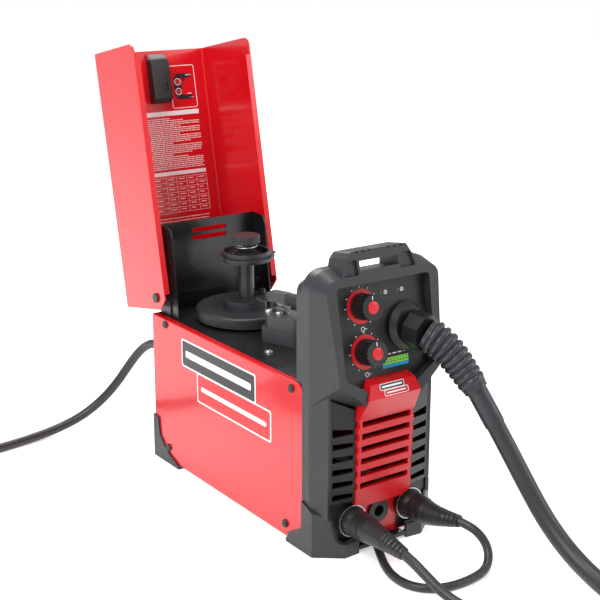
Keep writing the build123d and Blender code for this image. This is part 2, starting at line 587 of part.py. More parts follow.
# Spool holder: stud, disc with its hub, retaining ring and brake nut
disc_bottom = 181.5
disc_top = 194.0
hub_top = 203.5
ring_bottom = 248.0
ring_top = 259.0
neck_radius = 6.0
nut_bottom = 268.5
nut_top = 276.8
with BuildPart() as spindle_stud:
    rod(spindle.offset(deck_top), (0, 0), 18, disc_bottom - deck_top)
    rod(spindle.offset(deck_top), (0, 0), stud_radius, ring_top - 1 - deck_top)
    rod(spindle.offset(deck_top), (0, 0), neck_radius, nut_top - 2 - deck_top)
    rod(spindle.offset(deck_top - 8), (0, 0), stud_bolt, 8)
    rod(spindle.offset(deck_top - 8), (0, 0), 7, 8 - sheet)
spindle_stud.part.label = "spindle_stud"
export_step(spindle_stud.part, "parts/spindle_stud.step")
with BuildPart() as spool_disc:
    rod(spindle.offset(disc_bottom), (0, 0), 58.5, disc_top - disc_bottom)
    fillet(spool_disc.edges().filter_by(GeomType.CIRCLE).group_by(Axis.Z)[-1], 3)
    rod(spindle.offset(disc_bottom), (0, 0), 27.5, hub_top - disc_bottom)
    rod(spindle.offset(disc_bottom), (0, 0), stud_radius + running_gap, hub_top - disc_bottom, Mode.SUBTRACT)
    rod(spindle.offset(disc_bottom + 4), (22, 0), 3.5, hub_top - disc_bottom + 2)
    rod(spindle.offset(disc_bottom), (0, 0), 54, 3, Mode.SUBTRACT)
    rod(spindle.offset(disc_bottom), (0, 0), 21, 3)
    rod(spindle.offset(disc_bottom), (0, 0), stud_radius + running_gap, 3, Mode.SUBTRACT)
spool_disc.part.label = "spool_disc"
export_step(spool_disc.part, "parts/spool_disc.step")
with BuildPart() as retaining_ring:
    rod(spindle.offset(ring_bottom), (0, 0), 28.5, ring_top - ring_bottom)
    rod(spindle.offset(ring_bottom + 3.5), (0, 0), 32.8, 2)
    for hand in (-1, 1):
        tab = sorted((hand * 20, hand * 37))
        bar(spindle.offset(ring_bottom + 3.5), tab, (-6, 6), 2)
    rod(spindle.offset(ring_bottom + 4), (0, 0), 25.5, ring_top, Mode.SUBTRACT)
    rod(spindle.offset(ring_bottom), (0, 0), 12.5, ring_top - 1 - ring_bottom)
    rod(spindle.offset(ring_bottom), (0, 0), stud_radius + running_gap, 20, Mode.SUBTRACT)
retaining_ring.part.label = "retaining_ring"
export_step(retaining_ring.part, "parts/retaining_ring.step")
with BuildPart() as brake_nut:
    ribbed_rod(spindle.offset(nut_bottom), (0, 0), 16.1, 1.2, 28, nut_top - nut_bottom)
    rod(spindle.offset(ring_top + 0.3), (0, 0), 9.5, nut_bottom - ring_top - 0.3)
    rod(spindle.offset(ring_top + 0.3), (0, 0), neck_radius + running_gap, nut_top - 1.8 - ring_top - 0.3,
        Mode.SUBTRACT)
brake_nut.part.label = "brake_nut"
export_step(brake_nut.part, "parts/brake_nut.step")

# Wire drive: block on the deck with a post for the pressure arm
base_height = 15.25
housing_top = 29.75
roll_half = 2.5
drive_roll_z = wire_z - roll_gap - drive_roll_radius
pressure_roll_z = wire_z + roll_gap + pressure_roll_radius
roll_shaft = 3.0
roll_pin = 1.5
arm_pin = 2.0
arm_across = (wire_x - 5.5, wire_x + 5.5)
post_across = (arm_across[1] + 0.3, arm_across[1] + 5)
guide_radius = 1.8
inlet_radius = 1.5
with BuildPart() as drive_housing:
    prism(drive, [(0, -40), (44, -40), (44, 8), (6, 8), (0, 2)], base_height)
    prism(drive.offset(base_height), [(1, -39), (43, -39), (43, 7), (12, 7), (1, -4)], housing_top - base_height)
    bar(drive_side.offset(post_across[0]), (arm_pivot_y - 5, arm_pivot_y + 2), (housing_top, arm_z + 4),
        post_across[1] - post_across[0])
    rod(drive_side.offset(arm_across[0] + 0.5), (arm_pivot_y, arm_z), arm_pin, post_across[1] - arm_across[0])
    bar(drive.offset(housing_top), (wire_x - 5, wire_x + 5), (-40, -36.6), wire_z + 3 - housing_top)
    bar(drive.offset(drive_roll_z - drive_roll_radius - 0.8), (wire_x - roll_half - 0.6, wire_x + roll_half + 0.6),
        (roll_y - drive_roll_radius - 1, roll_y + drive_roll_radius + 1), 30, Mode.SUBTRACT)
    rod(drive_side.offset(wire_x), (roll_y, drive_roll_z), roll_shaft + running_gap, 18, Mode.SUBTRACT)
    bar(drive, (wire_x - 3.5, wire_x + 3.5), (7, 12), 20)
    bar(drive, (wire_x - 3.5, wire_x + 3.5), (9.9, 12), wire_z + 3)
    rod(drive_front.offset(-13), (wire_x, wire_z), inlet_radius + 0.02, 4, Mode.SUBTRACT)
    rod(drive_front.offset(36), (wire_x, wire_z), guide_radius + 0.4, 5, Mode.SUBTRACT)
    rod(drive, motor_centre, worm_hole - 0.5, 12, Mode.SUBTRACT)
drive_housing.part.label = "drive_housing"
export_step(drive_housing.part, "parts/drive_housing.step")

# Geared motor under the deck, its worm reaching into the block
with BuildPart() as gearmotor:
    rod(drive.offset(-2 * sheet - 62), motor_centre, 17, 62 + sheet)
    rod(drive.offset(-2 * sheet), motor_centre, 4.5, 2 * sheet + 10)
    rod(drive.offset(-2 * sheet - 68), motor_centre, 6, 6)
gearmotor.part.label = "gearmotor"
export_step(gearmotor.part, "parts/gearmotor.step")

# Drive roll with its groove and shaft
with BuildPart() as drive_roll:
    rod(drive_side.offset(wire_x - roll_half), (roll_y, drive_roll_z), drive_roll_radius, 2 * roll_half)
    with BuildSketch(drive_side.offset(wire_x - 0.4)) as groove:
        with Locations((roll_y, drive_roll_z)):
            Circle(drive_roll_radius + 1)
            Circle(drive_roll_radius - 0.5, mode=Mode.SUBTRACT)
    extrude(groove.sketch, amount=0.8, mode=Mode.SUBTRACT)
    rod(drive_side.offset(wire_x), (roll_y, drive_roll_z), roll_shaft, 16)
drive_roll.part.label = "drive_roll"
export_step(drive_roll.part, "parts/drive_roll.step")

# Pressure roll
with BuildPart() as pressure_roll:
    rod(drive_side.offset(wire_x - roll_half), (roll_y, pressure_roll_z), pressure_roll_radius, 2 * roll_half)
    rod(drive_side.offset(wire_x - roll_half), (roll_y, pressure_roll_z), roll_pin + running_gap, 2 * roll_half,
        Mode.SUBTRACT)
pressure_roll.part.label = "pressure_roll"
export_step(pressure_roll.part, "parts/pressure_roll.step")

# Pressure arm: round-backed bar over the rolls with the stud of the tension knob
arm_end = -17.0
knob_stud = 2.5
tension_end = -35.0
with BuildPart() as pressure_arm:
    arm_profile = [(arm_end, arm_z - 5.2), (arm_pivot_y, arm_z - 5.2), (arm_pivot_y + 4.5, arm_z),
                   (arm_pivot_y + 2, arm_z + 5), (arm_pivot_y - 4, arm_z + 6.3), (arm_end, arm_z + 6.3)]
    prism(drive_side.offset(arm_across[0]), arm_profile, arm_across[1] - arm_across[0])
    bar(drive.offset(arm_z - 6), (wire_x - roll_half - 0.4, wire_x + roll_half + 0.4),
        (roll_y - pressure_roll_radius - 0.8, roll_y + pressure_roll_radius + 0.8), 8.6, Mode.SUBTRACT)
    rod(drive_side.offset(arm_across[0] + 1), (roll_y, pressure_roll_z), roll_pin, 9)
    rod(drive_side.offset(arm_across[0] - 1), (arm_pivot_y, arm_z), arm_pin + running_gap, 13, Mode.SUBTRACT)
    rod(drive_front.offset(-arm_end), (wire_x, arm_z), knob_stud, 14)
pressure_arm.part.label = "pressure_arm"
export_step(pressure_arm.part, "parts/pressure_arm.step")

# Tension knob on the arm's stud
with BuildPart() as tension_knob:
    ribbed_rod(drive_front.offset(-arm_end + 0.3), (wire_x, arm_z), 7.25, 0.8, 16, arm_end - tension_end - 0.3)
    rod(drive_front.offset(-arm_end), (wire_x, arm_z), knob_stud + running_gap, 14.3, Mode.SUBTRACT)
tension_knob.part.label = "tension_knob"
export_step(tension_knob.part, "parts/tension_knob.step")


# Cords and guides follow straight runs joined by arcs
def route_radii(points):
    """Arc radius at each inner point of a route: 0.45 of the shorter run over the tangent of half the turn."""
    vectors = [Vector(*point) for point in points]
    radii = []
    for before, here, after in zip(vectors, vectors[1:], vectors[2:]):
        turn = radians((here - before).get_angle(after - here))
        radii.append(0.45 * min((here - before).length, (after - here).length) / tan(turn / 2))
    return radii


def in_frame(points):
    """Route points given from the case's front edge, moved into the machine's frame."""
    return [(x, y + front_y, z) for x, y, z in points]


def tube(points, radius):
    """A round tube along a route; returns its length."""
    with BuildLine() as path:
        FilletPolyline(*points, radius=route_radii(points))
    start = Plane(origin=points[0], z_dir=Vector(*points[1]) - Vector(*points[0]))
    with BuildSketch(start) as section:
        Circle(radius)
    sweep(section.sketch, path=path.wire())
    return path.wire().length


# Wire guides: inlet spring guide and the outlet tube to the gun connector
def drive_point(across, along, height):
    """A point of the wire drive in the machine's frame."""
    return tuple(drive.from_local_coords(Vector(across, along, height)))


socket_back = tuple(panel_face.from_local_coords(Vector(*panel_point(*gun_place), -47.9)))
with BuildPart() as wire_guides:
    tube([drive_point(wire_x, 9.9, wire_z), drive_point(wire_x, 18, wire_z),
          drive_point(wire_x + 3.5, 29, wire_z + 2)], inlet_radius)
    tube([drive_point(wire_x, -22, wire_z), drive_point(wire_x, -42, wire_z), socket_back], guide_radius)
wire_guides.part.label = "wire_guides"
export_step(wire_guides.part, "parts/wire_guides.step")

# Inverter board on its standoffs, with capacitors and the finned heat sink of its transistors
board_level = 20.0
with BuildPart() as inverter_board:
    bar(case.offset(board_level), (-62, 62), (45, 262), 2, corner=3)
    for across in (-56, 56):
        for along in (52, 255):
            rod(case.offset(floor_gap + sheet), (across, along), 4, board_level - floor_gap - sheet)
    for across in (-44, -14):
        rod(case.offset(board_level + 2), (across, 75), 12, 45)
    bar(case.offset(board_level + 2), (-50, 0), (120, 235), 6)
    for fin in range(9):
        fin_x = -50 + fin * 6
        bar(case.offset(board_level + 8), (fin_x, fin_x + 2), (120, 235), 48)
inverter_board.part.label = "inverter_board"
export_step(inverter_board.part, "parts/inverter_board.step")

# Main transformer: core with its winding
with BuildPart() as transformer:
    bar(case.offset(board_level + 2), (14, 58), (150, 220), 8)
    bar(case.offset(board_level + 10), (14, 58), (150, 162), 40)
    bar(case.offset(board_level + 10), (14, 58), (208, 220), 40)
    bar(case.offset(board_level + 50), (14, 58), (150, 220), 8)
    rod(case.offset(board_level + 10), (36, 185), 20, 40)
transformer.part.label = "transformer"
export_step(transformer.part, "parts/transformer.step")

# Cooling fan on the rear panel
fan_front = 283.7
fan_half = 35.0
fan_pin = 1.5
fan_hub = 12.0
blade_reach = 31.0
with BuildPart() as fan_frame:
    bar(front.offset(-fan_front), (fan_centre[0] - fan_half, fan_centre[0] + fan_half),
        (fan_centre[1] - fan_half, fan_centre[1] + fan_half), fan_front - rear_inner, corner=4)
    rod(front.offset(-fan_front), fan_centre, fan_opening, fan_front - rear_inner, Mode.SUBTRACT)
    rod(front.offset(-fan_front), fan_centre, fan_hub, -5)
    bar(front.offset(-fan_front), (fan_centre[0] - fan_half + 1, fan_centre[0] + fan_half - 1),
        (fan_centre[1] - 2, fan_centre[1] + 2), -3)
    bar(front.offset(-fan_front), (fan_centre[0] - 2, fan_centre[0] + 2),
        (fan_centre[1] - fan_half + 1, fan_centre[1] + fan_half - 1), -3)
    rod(front.offset(-fan_front), fan_centre, fan_pin, -17)
fan_frame.part.label = "fan_frame"
export_step(fan_frame.part, "parts/fan_frame.step")
with BuildPart() as fan_rotor:
    rod(front.offset(-fan_front - 5.5), fan_centre, fan_hub, -12.5)
    for blade in range(7):
        bearing = 2 * pi * blade / 7
        outward = Vector(cos(bearing), 0, sin(bearing))
        root = Plane(origin=Vector(fan_centre[0], front_y + fan_front + 11.5, fan_centre[1]) + outward * 11,
                     x_dir=Vector(-sin(bearing), 0.6, cos(bearing)), z_dir=outward)
        bar(root, (-7, 7), (-0.7, 0.7), blade_reach - 12)
    rod(front.offset(-fan_front - 5), fan_centre, fan_pin + running_gap, -12.5, Mode.SUBTRACT)
fan_rotor.part.label = "fan_rotor"
export_step(fan_rotor.part, "parts/fan_rotor.step")

# Mains switch and its rocker
switch_lip = 1.8
rocker_y = 303.5
rocker_pin = 1.2
with BuildPart() as power_switch:
    bar(front.offset(-case_length), (switch_centre[0] - 11.5, switch_centre[0] + 11.5),
        (switch_centre[1] - 15.5, switch_centre[1] + 15.5), -switch_lip)
    bar(front.offset(-284), (switch_centre[0] - 9.9, switch_centre[0] + 9.9),
        (switch_centre[1] - 13.9, switch_centre[1] + 13.9), 284 - case_length)
    bar(front.offset(-294), (switch_centre[0] - 7.6, switch_centre[0] + 7.6),
        (switch_centre[1] - 11.9, switch_centre[1] + 11.9), -14, Mode.SUBTRACT)
    rod(side.offset(switch_centre[0] - 8), (rocker_y, switch_centre[1]), rocker_pin, 16)
power_switch.part.label = "power_switch"
export_step(power_switch.part, "parts/power_switch.step")
with BuildPart() as switch_rocker:
    rocker_profile = [(rocker_y - 3, 136), (rocker_y - 3, 144), (305, 149.4), (307.3, 140), (309.2, 130.6)]
    prism(side.offset(switch_centre[0] - 7.2), rocker_profile, 14.4)
    rod(side.offset(switch_centre[0] - 8), (rocker_y, switch_centre[1]), rocker_pin + running_gap, 16,
        Mode.SUBTRACT)
switch_rocker.part.label = "switch_rocker"
export_step(switch_rocker.part, "parts/switch_rocker.step")

# Mains cord: gland with its tapered relief, cord, coil and plug
cord_radius = 5.5
with BuildPart() as cord_gland:
    rod(front.offset(-rear_inner + 4), cord_hole, gland_thread - 0.02, -sheet - 4)
    rod(front.offset(-rear_inner + 4), cord_hole, 11, -4)
    rod(front.offset(-case_length), cord_hole, 11.5, -5)
    with BuildSketch(front.offset(-case_length - 5)) as relief:
        with Locations(cord_hole):
            Circle(9.5)
    extrude(relief.sketch, amount=-27, taper=5)
cord_gland.part.label = "cord_gland"
export_step(cord_gland.part, "parts/cord_gland.step")

power_route = in_frame([(-50, 335, 127.5), (-50.5, 353, 124.5), (-52, 370, 116), (-56, 384.5, 103), (-63, 398, 83),
                        (-74, 410, 59), (-91, 420, 37), (-116, 427, 19), (-148, 430, 9), (-184, 427, 5.6),
                        (-222, 421, 5.5), (-260, 417.5, 5.5), (-292, 417, 5.5), (-318, 418, 5.5)])
gun_route = in_frame([(66, -97, 178), (76, -112, 148), (85, -130, 116), (92, -150, 84), (97, -173, 54),
                      (101, -204, 29), (102, -241, 14.5), (100, -279, 9.7), (97.5, -316, 9.5), (97, -350, 9.5),
                      (99, -383, 9.5)])
work_route = in_frame([(-37, -116, 33.7), (-36.7, -130, 31), (-35, -149, 23), (-31, -167, 13), (-24.5, -186, 6.3),
                       (-17, -209, 5), (-14, -234, 5), (-19, -256, 5), (-32, -276, 5), (-53, -290, 5), (-79, -302, 5),
                       (-105, -309, 5)])
polarity_route = in_frame([(44, -103.5, 41), (48.5, -116, 39), (53.5, -126.5, 32.5), (56, -135, 22.5),
                           (52.5, -142, 12.5), (43, -147.5, 6), (28, -151, 4.5), (8, -153, 4.5),
                           (-13, -150.5, 4.5), (-30, -140.5, 4.5), (-39, -124, 4.5), (-39, -104, 4.5),
                           (-33, -85, 4.5), (-24.5, -67, 5.5), (-17.5, -51.5, 10.5), (-12.5, -38.5, 15),
                           (-10.5, -29, 16)])
gun_radius = 9.5
work_radius = 5.0
polarity_radius = 4.5


def coil(centre, inside, outside, height):
    """A coil's outer shape: a flat ring with rounded edges."""
    ring_plane = Plane(origin=(centre[0], front_y + centre[1], 0))
    with BuildPart() as ring:
        with BuildSketch(ring_plane) as section:
            Circle(outside)
            Circle(inside, mode=Mode.SUBTRACT)
        extrude(section.sketch, amount=height)
        fillet(ring.edges(), height * 0.2)
    return ring


def report_cord(name, part, points, length, radius):
    """Print a cord's arc radii, and its volume against its section times its length."""
    radii = [round(value) for value in route_radii(points)]
    print(name, "radii", radii, "length", round(length), "volume ratio",
          round(part.volume / (pi * radius ** 2 * length), 4))


with BuildPart() as power_cord:
    power_length = tube(power_route, cord_radius)
report_cord("power_cord", power_cord.part, power_route, power_length, cord_radius)
power_cord.part.label = "power_cord"
export_step(power_cord.part, "parts/power_cord.step")
power_centre = (-345, 352)
power_coil_height = 22.0
power_coil = coil(power_centre, 49.5, 71.5, power_coil_height)
power_coil.part.label = "power_coil"
export_step(power_coil.part, "parts/power_coil.step")
plug_rest = (power_centre[0] - 27, power_centre[1] - 60, power_coil_height + 13.2)
plug_axis = Plane(origin=in_frame([plug_rest])[0], x_dir=(0, 1, 0), z_dir=(1, 0, 0))
with BuildPart() as power_plug:
    prism(plug_axis.offset(24), [(-13, -13), (13, -13), (13, 6), (6, 14), (-6, 14), (-13, 6)], 26, corner=3)
    with BuildSketch(plug_axis) as plug_tail:
        Circle(7)
    extrude(plug_tail.sketch, amount=26, taper=-8)
    for blade_y in (-6.35, 6.35):
        bar(plug_axis.offset(48), (blade_y - 0.75, blade_y + 0.75), (-7.5, -1.2), 19)
    rod(plug_axis.offset(48), (0, 7.5), 2.4, 22)
power_plug.part.label = "power_plug"
export_step(power_plug.part, "parts/power_plug.step")

# Gun: ribbed boot, cable, coil, and the gun lying on the coil
boot_route = in_frame([(36, -58, 228), (43, -69.5, 221.5), (51, -79.5, 209), (59, -88, 193.5), (67, -98.5, 175)])
with BuildPart() as gun_boot:
    boot_length = tube(boot_route, 12)
    with BuildLine() as boot_line:
        FilletPolyline(*boot_route, radius=route_radii(boot_route))
    boot_wire = boot_line.wire()
    for ridge in range(9):
        share = 0.07 + ridge * 0.095
        station = Plane(origin=boot_wire @ share, z_dir=boot_wire % share)
        rod(station, (0, 0), 18 - ridge * 0.42, 4.4)
    rod(Plane(origin=boot_wire @ 0.9, z_dir=boot_wire % 0.95), (0, 0), 14, boot_length * 0.1)
gun_boot.part.label = "gun_boot"
export_step(gun_boot.part, "parts/gun_boot.step")
with BuildPart() as gun_cable:
    gun_length = tube(gun_route, gun_radius)
report_cord("gun_cable", gun_cable.part, gun_route, gun_length, gun_radius)
gun_cable.part.label = "gun_cable"
export_step(gun_cable.part, "parts/gun_cable.step")
gun_centre = (-15, -415)
gun_coil_height = 38.0
gun_coil = coil(gun_centre, 85.5, 123.5, gun_coil_height)
gun_coil.part.label = "gun_coil"
export_step(gun_coil.part, "parts/gun_coil.step")
gun_axis_z = gun_coil_height + 15.3
gun_rest = in_frame([(-5, gun_centre[1] - 95, gun_axis_z)])[0]
gun_axis = Plane(origin=gun_rest, x_dir=(0, 1, 0), z_dir=(-1, 0, 0))
trigger_slot = ((77.0, 121.0), (-16.0, -8.0))
trigger_half = 5.5
trigger_pin = 1.5
trigger_pin_place = (112.0, -12.0)
with BuildPart() as gun_handle:
    bar(gun_axis, (-15, 15), (-14, 14), 130, corner=7)
    tail_end = Plane(origin=(gun_rest[0] + 29, gun_rest[1], gun_coil_height - 2), z_dir=(-29, 0, 17.3))
    with BuildSketch(tail_end) as tail_small:
        Circle(10)
    with BuildSketch(gun_axis) as tail_large:
        Circle(13)
    loft([tail_small.sketch, tail_large.sketch], ruled=True)
    top_plane = Plane(origin=gun_rest, x_dir=(-1, 0, 0), z_dir=(0, 0, 1))
    bar(top_plane.offset(-trigger_half - 0.4), trigger_slot[0], trigger_slot[1], 2 * trigger_half + 0.8,
        Mode.SUBTRACT)
    rod(top_plane.offset(-trigger_half - 1), trigger_pin_place, trigger_pin, 2 * trigger_half + 2)
gun_handle.part.label = "gun_handle"
export_step(gun_handle.part, "parts/gun_handle.step")
with BuildPart() as gun_trigger:
    prism(top_plane.offset(-trigger_half), [(79.5, -18), (116, -15), (116, -10), (84, -12), (79.5, -12)],
          2 * trigger_half)
    rod(top_plane.offset(-trigger_half), trigger_pin_place, trigger_pin + running_gap, 2 * trigger_half,
        Mode.SUBTRACT)
gun_trigger.part.label = "gun_trigger"
export_step(gun_trigger.part, "parts/gun_trigger.step")
with BuildPart() as gun_neck:
    neck_route = [(gun_rest[0] - along, gun_rest[1] + aside, gun_axis_z)
                  for along, aside in ((130, 0), (160, 0), (185, 12), (202, 32))]
    tube(neck_route, 8)
    nozzle_plane = Plane(origin=neck_route[-1], z_dir=Vector(*neck_route[-1]) - Vector(*neck_route[-2]))
    rod(nozzle_plane.offset(-3), (0, 0), 9.5, 38)
    rod(nozzle_plane.offset(35), (0, 0), 6.5, -14, Mode.SUBTRACT)
gun_neck.part.label = "gun_neck"
export_step(gun_neck.part, "parts/gun_neck.step")


# Twist-lock plugs with their tapered tails
def twist_plug(centre, tail_points):
    """A plug in a socket: pin, sleeve and tail; the tail runs through the given points."""
    with BuildPart() as plug:
        rod(front.offset(collar_front), centre, plug_pin, -18)
        rod(front.offset(collar_front), centre, 14.35, 22)
        rod(front.offset(collar_front + 22), centre, 13.2, 6)
        sections = [Plane(origin=(centre[0], front_y - collar_front - 28, centre[1]), z_dir=(0, -1, 0))]
        sections += [Plane(origin=point, z_dir=Vector(*point) - Vector(*before))
                     for before, point in zip(tail_points, tail_points[1:])]
        faces = []
        for place, radius in zip(sections, (13.2, 10.2, 6.4)):
            with BuildSketch(place) as section:
                Circle(radius)
            faces.append(section.sketch)
        loft(faces, ruled=True)
    return plug


work_plug = twist_plug(socket_centres[0], in_frame([(-37, -64, 36.5), (-37, -90, 35.2), (-37, -118, 33.5)]))
work_plug.part.label = "work_plug"
export_step(work_plug.part, "parts/work_plug.step")
polarity_plug = twist_plug(socket_centres[1], in_frame([(37, -64, 36.5), (39.5, -84, 38), (44.6, -105.3, 41)]))
polarity_plug.part.label = "polarity_plug"
export_step(polarity_plug.part, "parts/polarity_plug.step")

with BuildPart() as work_lead:
    work_length = tube(work_route, work_radius)
report_cord("work_lead", work_lead.part, work_route, work_length, work_radius)
work_lead.part.label = "work_lead"
export_step(work_lead.part, "parts/work_lead.step")
work_centre = (-135, -240)
work_coil_height = 20.0
work_coil = coil(work_centre, 35, 75, work_coil_height)
work_coil.part.label = "work_coil"
export_step(work_coil.part, "parts/work_coil.step")
with BuildPart() as polarity_lead:
    polarity_length = tube(polarity_route, polarity_radius)
report_cord("polarity_lead", polarity_lead.part, polarity_route, polarity_length, polarity_radius)
polarity_lead.part.label = "polarity_lead"
export_step(polarity_lead.part, "parts/polarity_lead.step")

# Work clamp on its coil: two levers on one pin
clamp_bottom = work_coil_height + 0.3
clamp_thick = 16.0
clamp_pivot = (-120.0, -240.0)
clamp_pin = 3.0
clamp_ear = 7.5
lever = [(-85, -20), (-40, -10), (0, -4), (58, -1), (58, -7), (34, -15), (0, -12), (-40, -18), (-84, -28)]
clamp = Plane(origin=(clamp_pivot[0], front_y + clamp_pivot[1], clamp_bottom))
with BuildPart() as clamp_lower:
    prism(clamp, lever, clamp_thick)
    rod(clamp.offset(clamp_thick / 2 - 0.2), (0, 0), clamp_ear + 0.4, clamp_thick, Mode.SUBTRACT)
    rod(clamp, (0, 0), clamp_ear, clamp_thick / 2 - 0.2)
    rod(clamp, (0, 0), clamp_pin, clamp_thick)
    rod(clamp.offset(-3.3), (-76, -23), 6, 8)
clamp_lower.part.label = "clamp_lower"
export_step(clamp_lower.part, "parts/clamp_lower.step")
with BuildPart() as clamp_upper:
    prism(clamp, [(u, -v) for u, v in reversed(lever)], clamp_thick)
    rod(clamp, (0, 0), clamp_ear + 0.4, clamp_thick / 2 + 0.2, Mode.SUBTRACT)
    rod(clamp.offset(clamp_thick / 2 + 0.2), (0, 0), clamp_ear, clamp_thick / 2 - 0.2)
    rod(clamp, (0, 0), clamp_pin + running_gap, clamp_thick, Mode.SUBTRACT)
clamp_upper.part.label = "clamp_upper"
export_step(clamp_upper.part, "parts/clamp_upper.step")
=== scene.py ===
"""Compact wire-feed welding machine: finishes and soft parts on its fixed frame."""
import math
import random

import bmesh
import bpy
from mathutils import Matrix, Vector


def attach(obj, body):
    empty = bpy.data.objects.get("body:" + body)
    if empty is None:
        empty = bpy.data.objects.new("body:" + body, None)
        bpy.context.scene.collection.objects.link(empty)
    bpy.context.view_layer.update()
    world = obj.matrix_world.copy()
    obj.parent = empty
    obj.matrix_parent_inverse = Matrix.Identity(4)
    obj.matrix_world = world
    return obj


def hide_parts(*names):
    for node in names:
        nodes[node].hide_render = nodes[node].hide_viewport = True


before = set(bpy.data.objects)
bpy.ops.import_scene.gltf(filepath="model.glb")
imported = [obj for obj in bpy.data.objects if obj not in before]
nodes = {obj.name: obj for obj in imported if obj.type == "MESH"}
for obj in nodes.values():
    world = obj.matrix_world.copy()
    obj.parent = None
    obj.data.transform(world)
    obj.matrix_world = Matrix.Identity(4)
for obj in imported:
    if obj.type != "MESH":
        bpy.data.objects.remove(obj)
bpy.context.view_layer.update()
FRONT = -187.3  # the case's front edge in the machine's frame, mm
PRINT_LOW = 0.02  # a print's underside over its surface, mm
PRINT_HIGH = 0.2


def place(x, y, z):
    """A point given from the case's front edge in mm, in the machine's frame in metres."""
    return Vector((x, y + FRONT, z)) / 1000


class Seat:
    """A flat working plane: origin, x direction and outward direction."""

    def __init__(self, origin, x_dir, z_dir):
        self.origin = Vector(origin)
        self.x = Vector(x_dir).normalized()
        self.z = Vector(z_dir).normalized()
        self.y = self.z.cross(self.x)

    def at(self, u, v, w=0.0):
        return self.origin + (self.x * u + self.y * v + self.z * w) / 1000


# ---------------------------------------------------------------- camera, light and floor
CAMERA_LENS = 77.8  # mm
CAMERA_SENSOR = 36.0  # mm
CAMERA_PLACE = (-0.76913, -1.1758, 0.61806)
CAMERA_TILT = 73.81  # degrees
CAMERA_TURN = -34.99  # degrees
WORLD_STRENGTH = 0.6
scene = bpy.context.scene
camera_data = bpy.data.cameras.new("camera")
camera_data.lens = CAMERA_LENS
camera_data.sensor_width = CAMERA_SENSOR
camera = bpy.data.objects.new("camera", camera_data)
camera.location = CAMERA_PLACE
camera.rotation_euler = (math.radians(CAMERA_TILT), 0, math.radians(CAMERA_TURN))
scene.collection.objects.link(camera)
scene.camera = camera
scene.view_settings.view_transform = "Standard"


def area_light(name, location, target, size, power):
    """A round studio light of a size in metres and a power in watts."""
    data = bpy.data.lights.new(name, "AREA")
    data.shape = "DISK"
    data.size = size
    data.energy = power
    light = bpy.data.objects.new(name, data)
    light.location = location
    aim = Vector(target) - Vector(location)
    light.rotation_euler = aim.to_track_quat("-Z", "Y").to_euler()
    scene.collection.objects.link(light)


area_light("key", (-1.5, -0.7, 1.7), (0, 0, 0.15), 1.1, 33)
area_light("fill", (1.7, -1.4, 1.2), (0, 0, 0.2), 1.4, 15)
area_light("back", (0.5, 1.7, 1.8), (0, 0.1, 0.2), 1.2, 26)
area_light("top", (0.1, -0.1, 2.3), (0, 0, 0.2), 0.9, 16)
world = bpy.data.worlds.new("studio")
world.use_nodes = True
world.node_tree.nodes["Background"].inputs["Color"].default_value = (1, 1, 1, 1)
world.node_tree.nodes["Background"].inputs["Strength"].default_value = WORLD_STRENGTH
scene.world = world


# ---------------------------------------------------------------- materials
COAT_ROUGHNESS = 0.07
FINE_DEPTH = 0.0002  # m
BROAD_DEPTH = 0.0004  # m
SCUFF_SCALE = 160


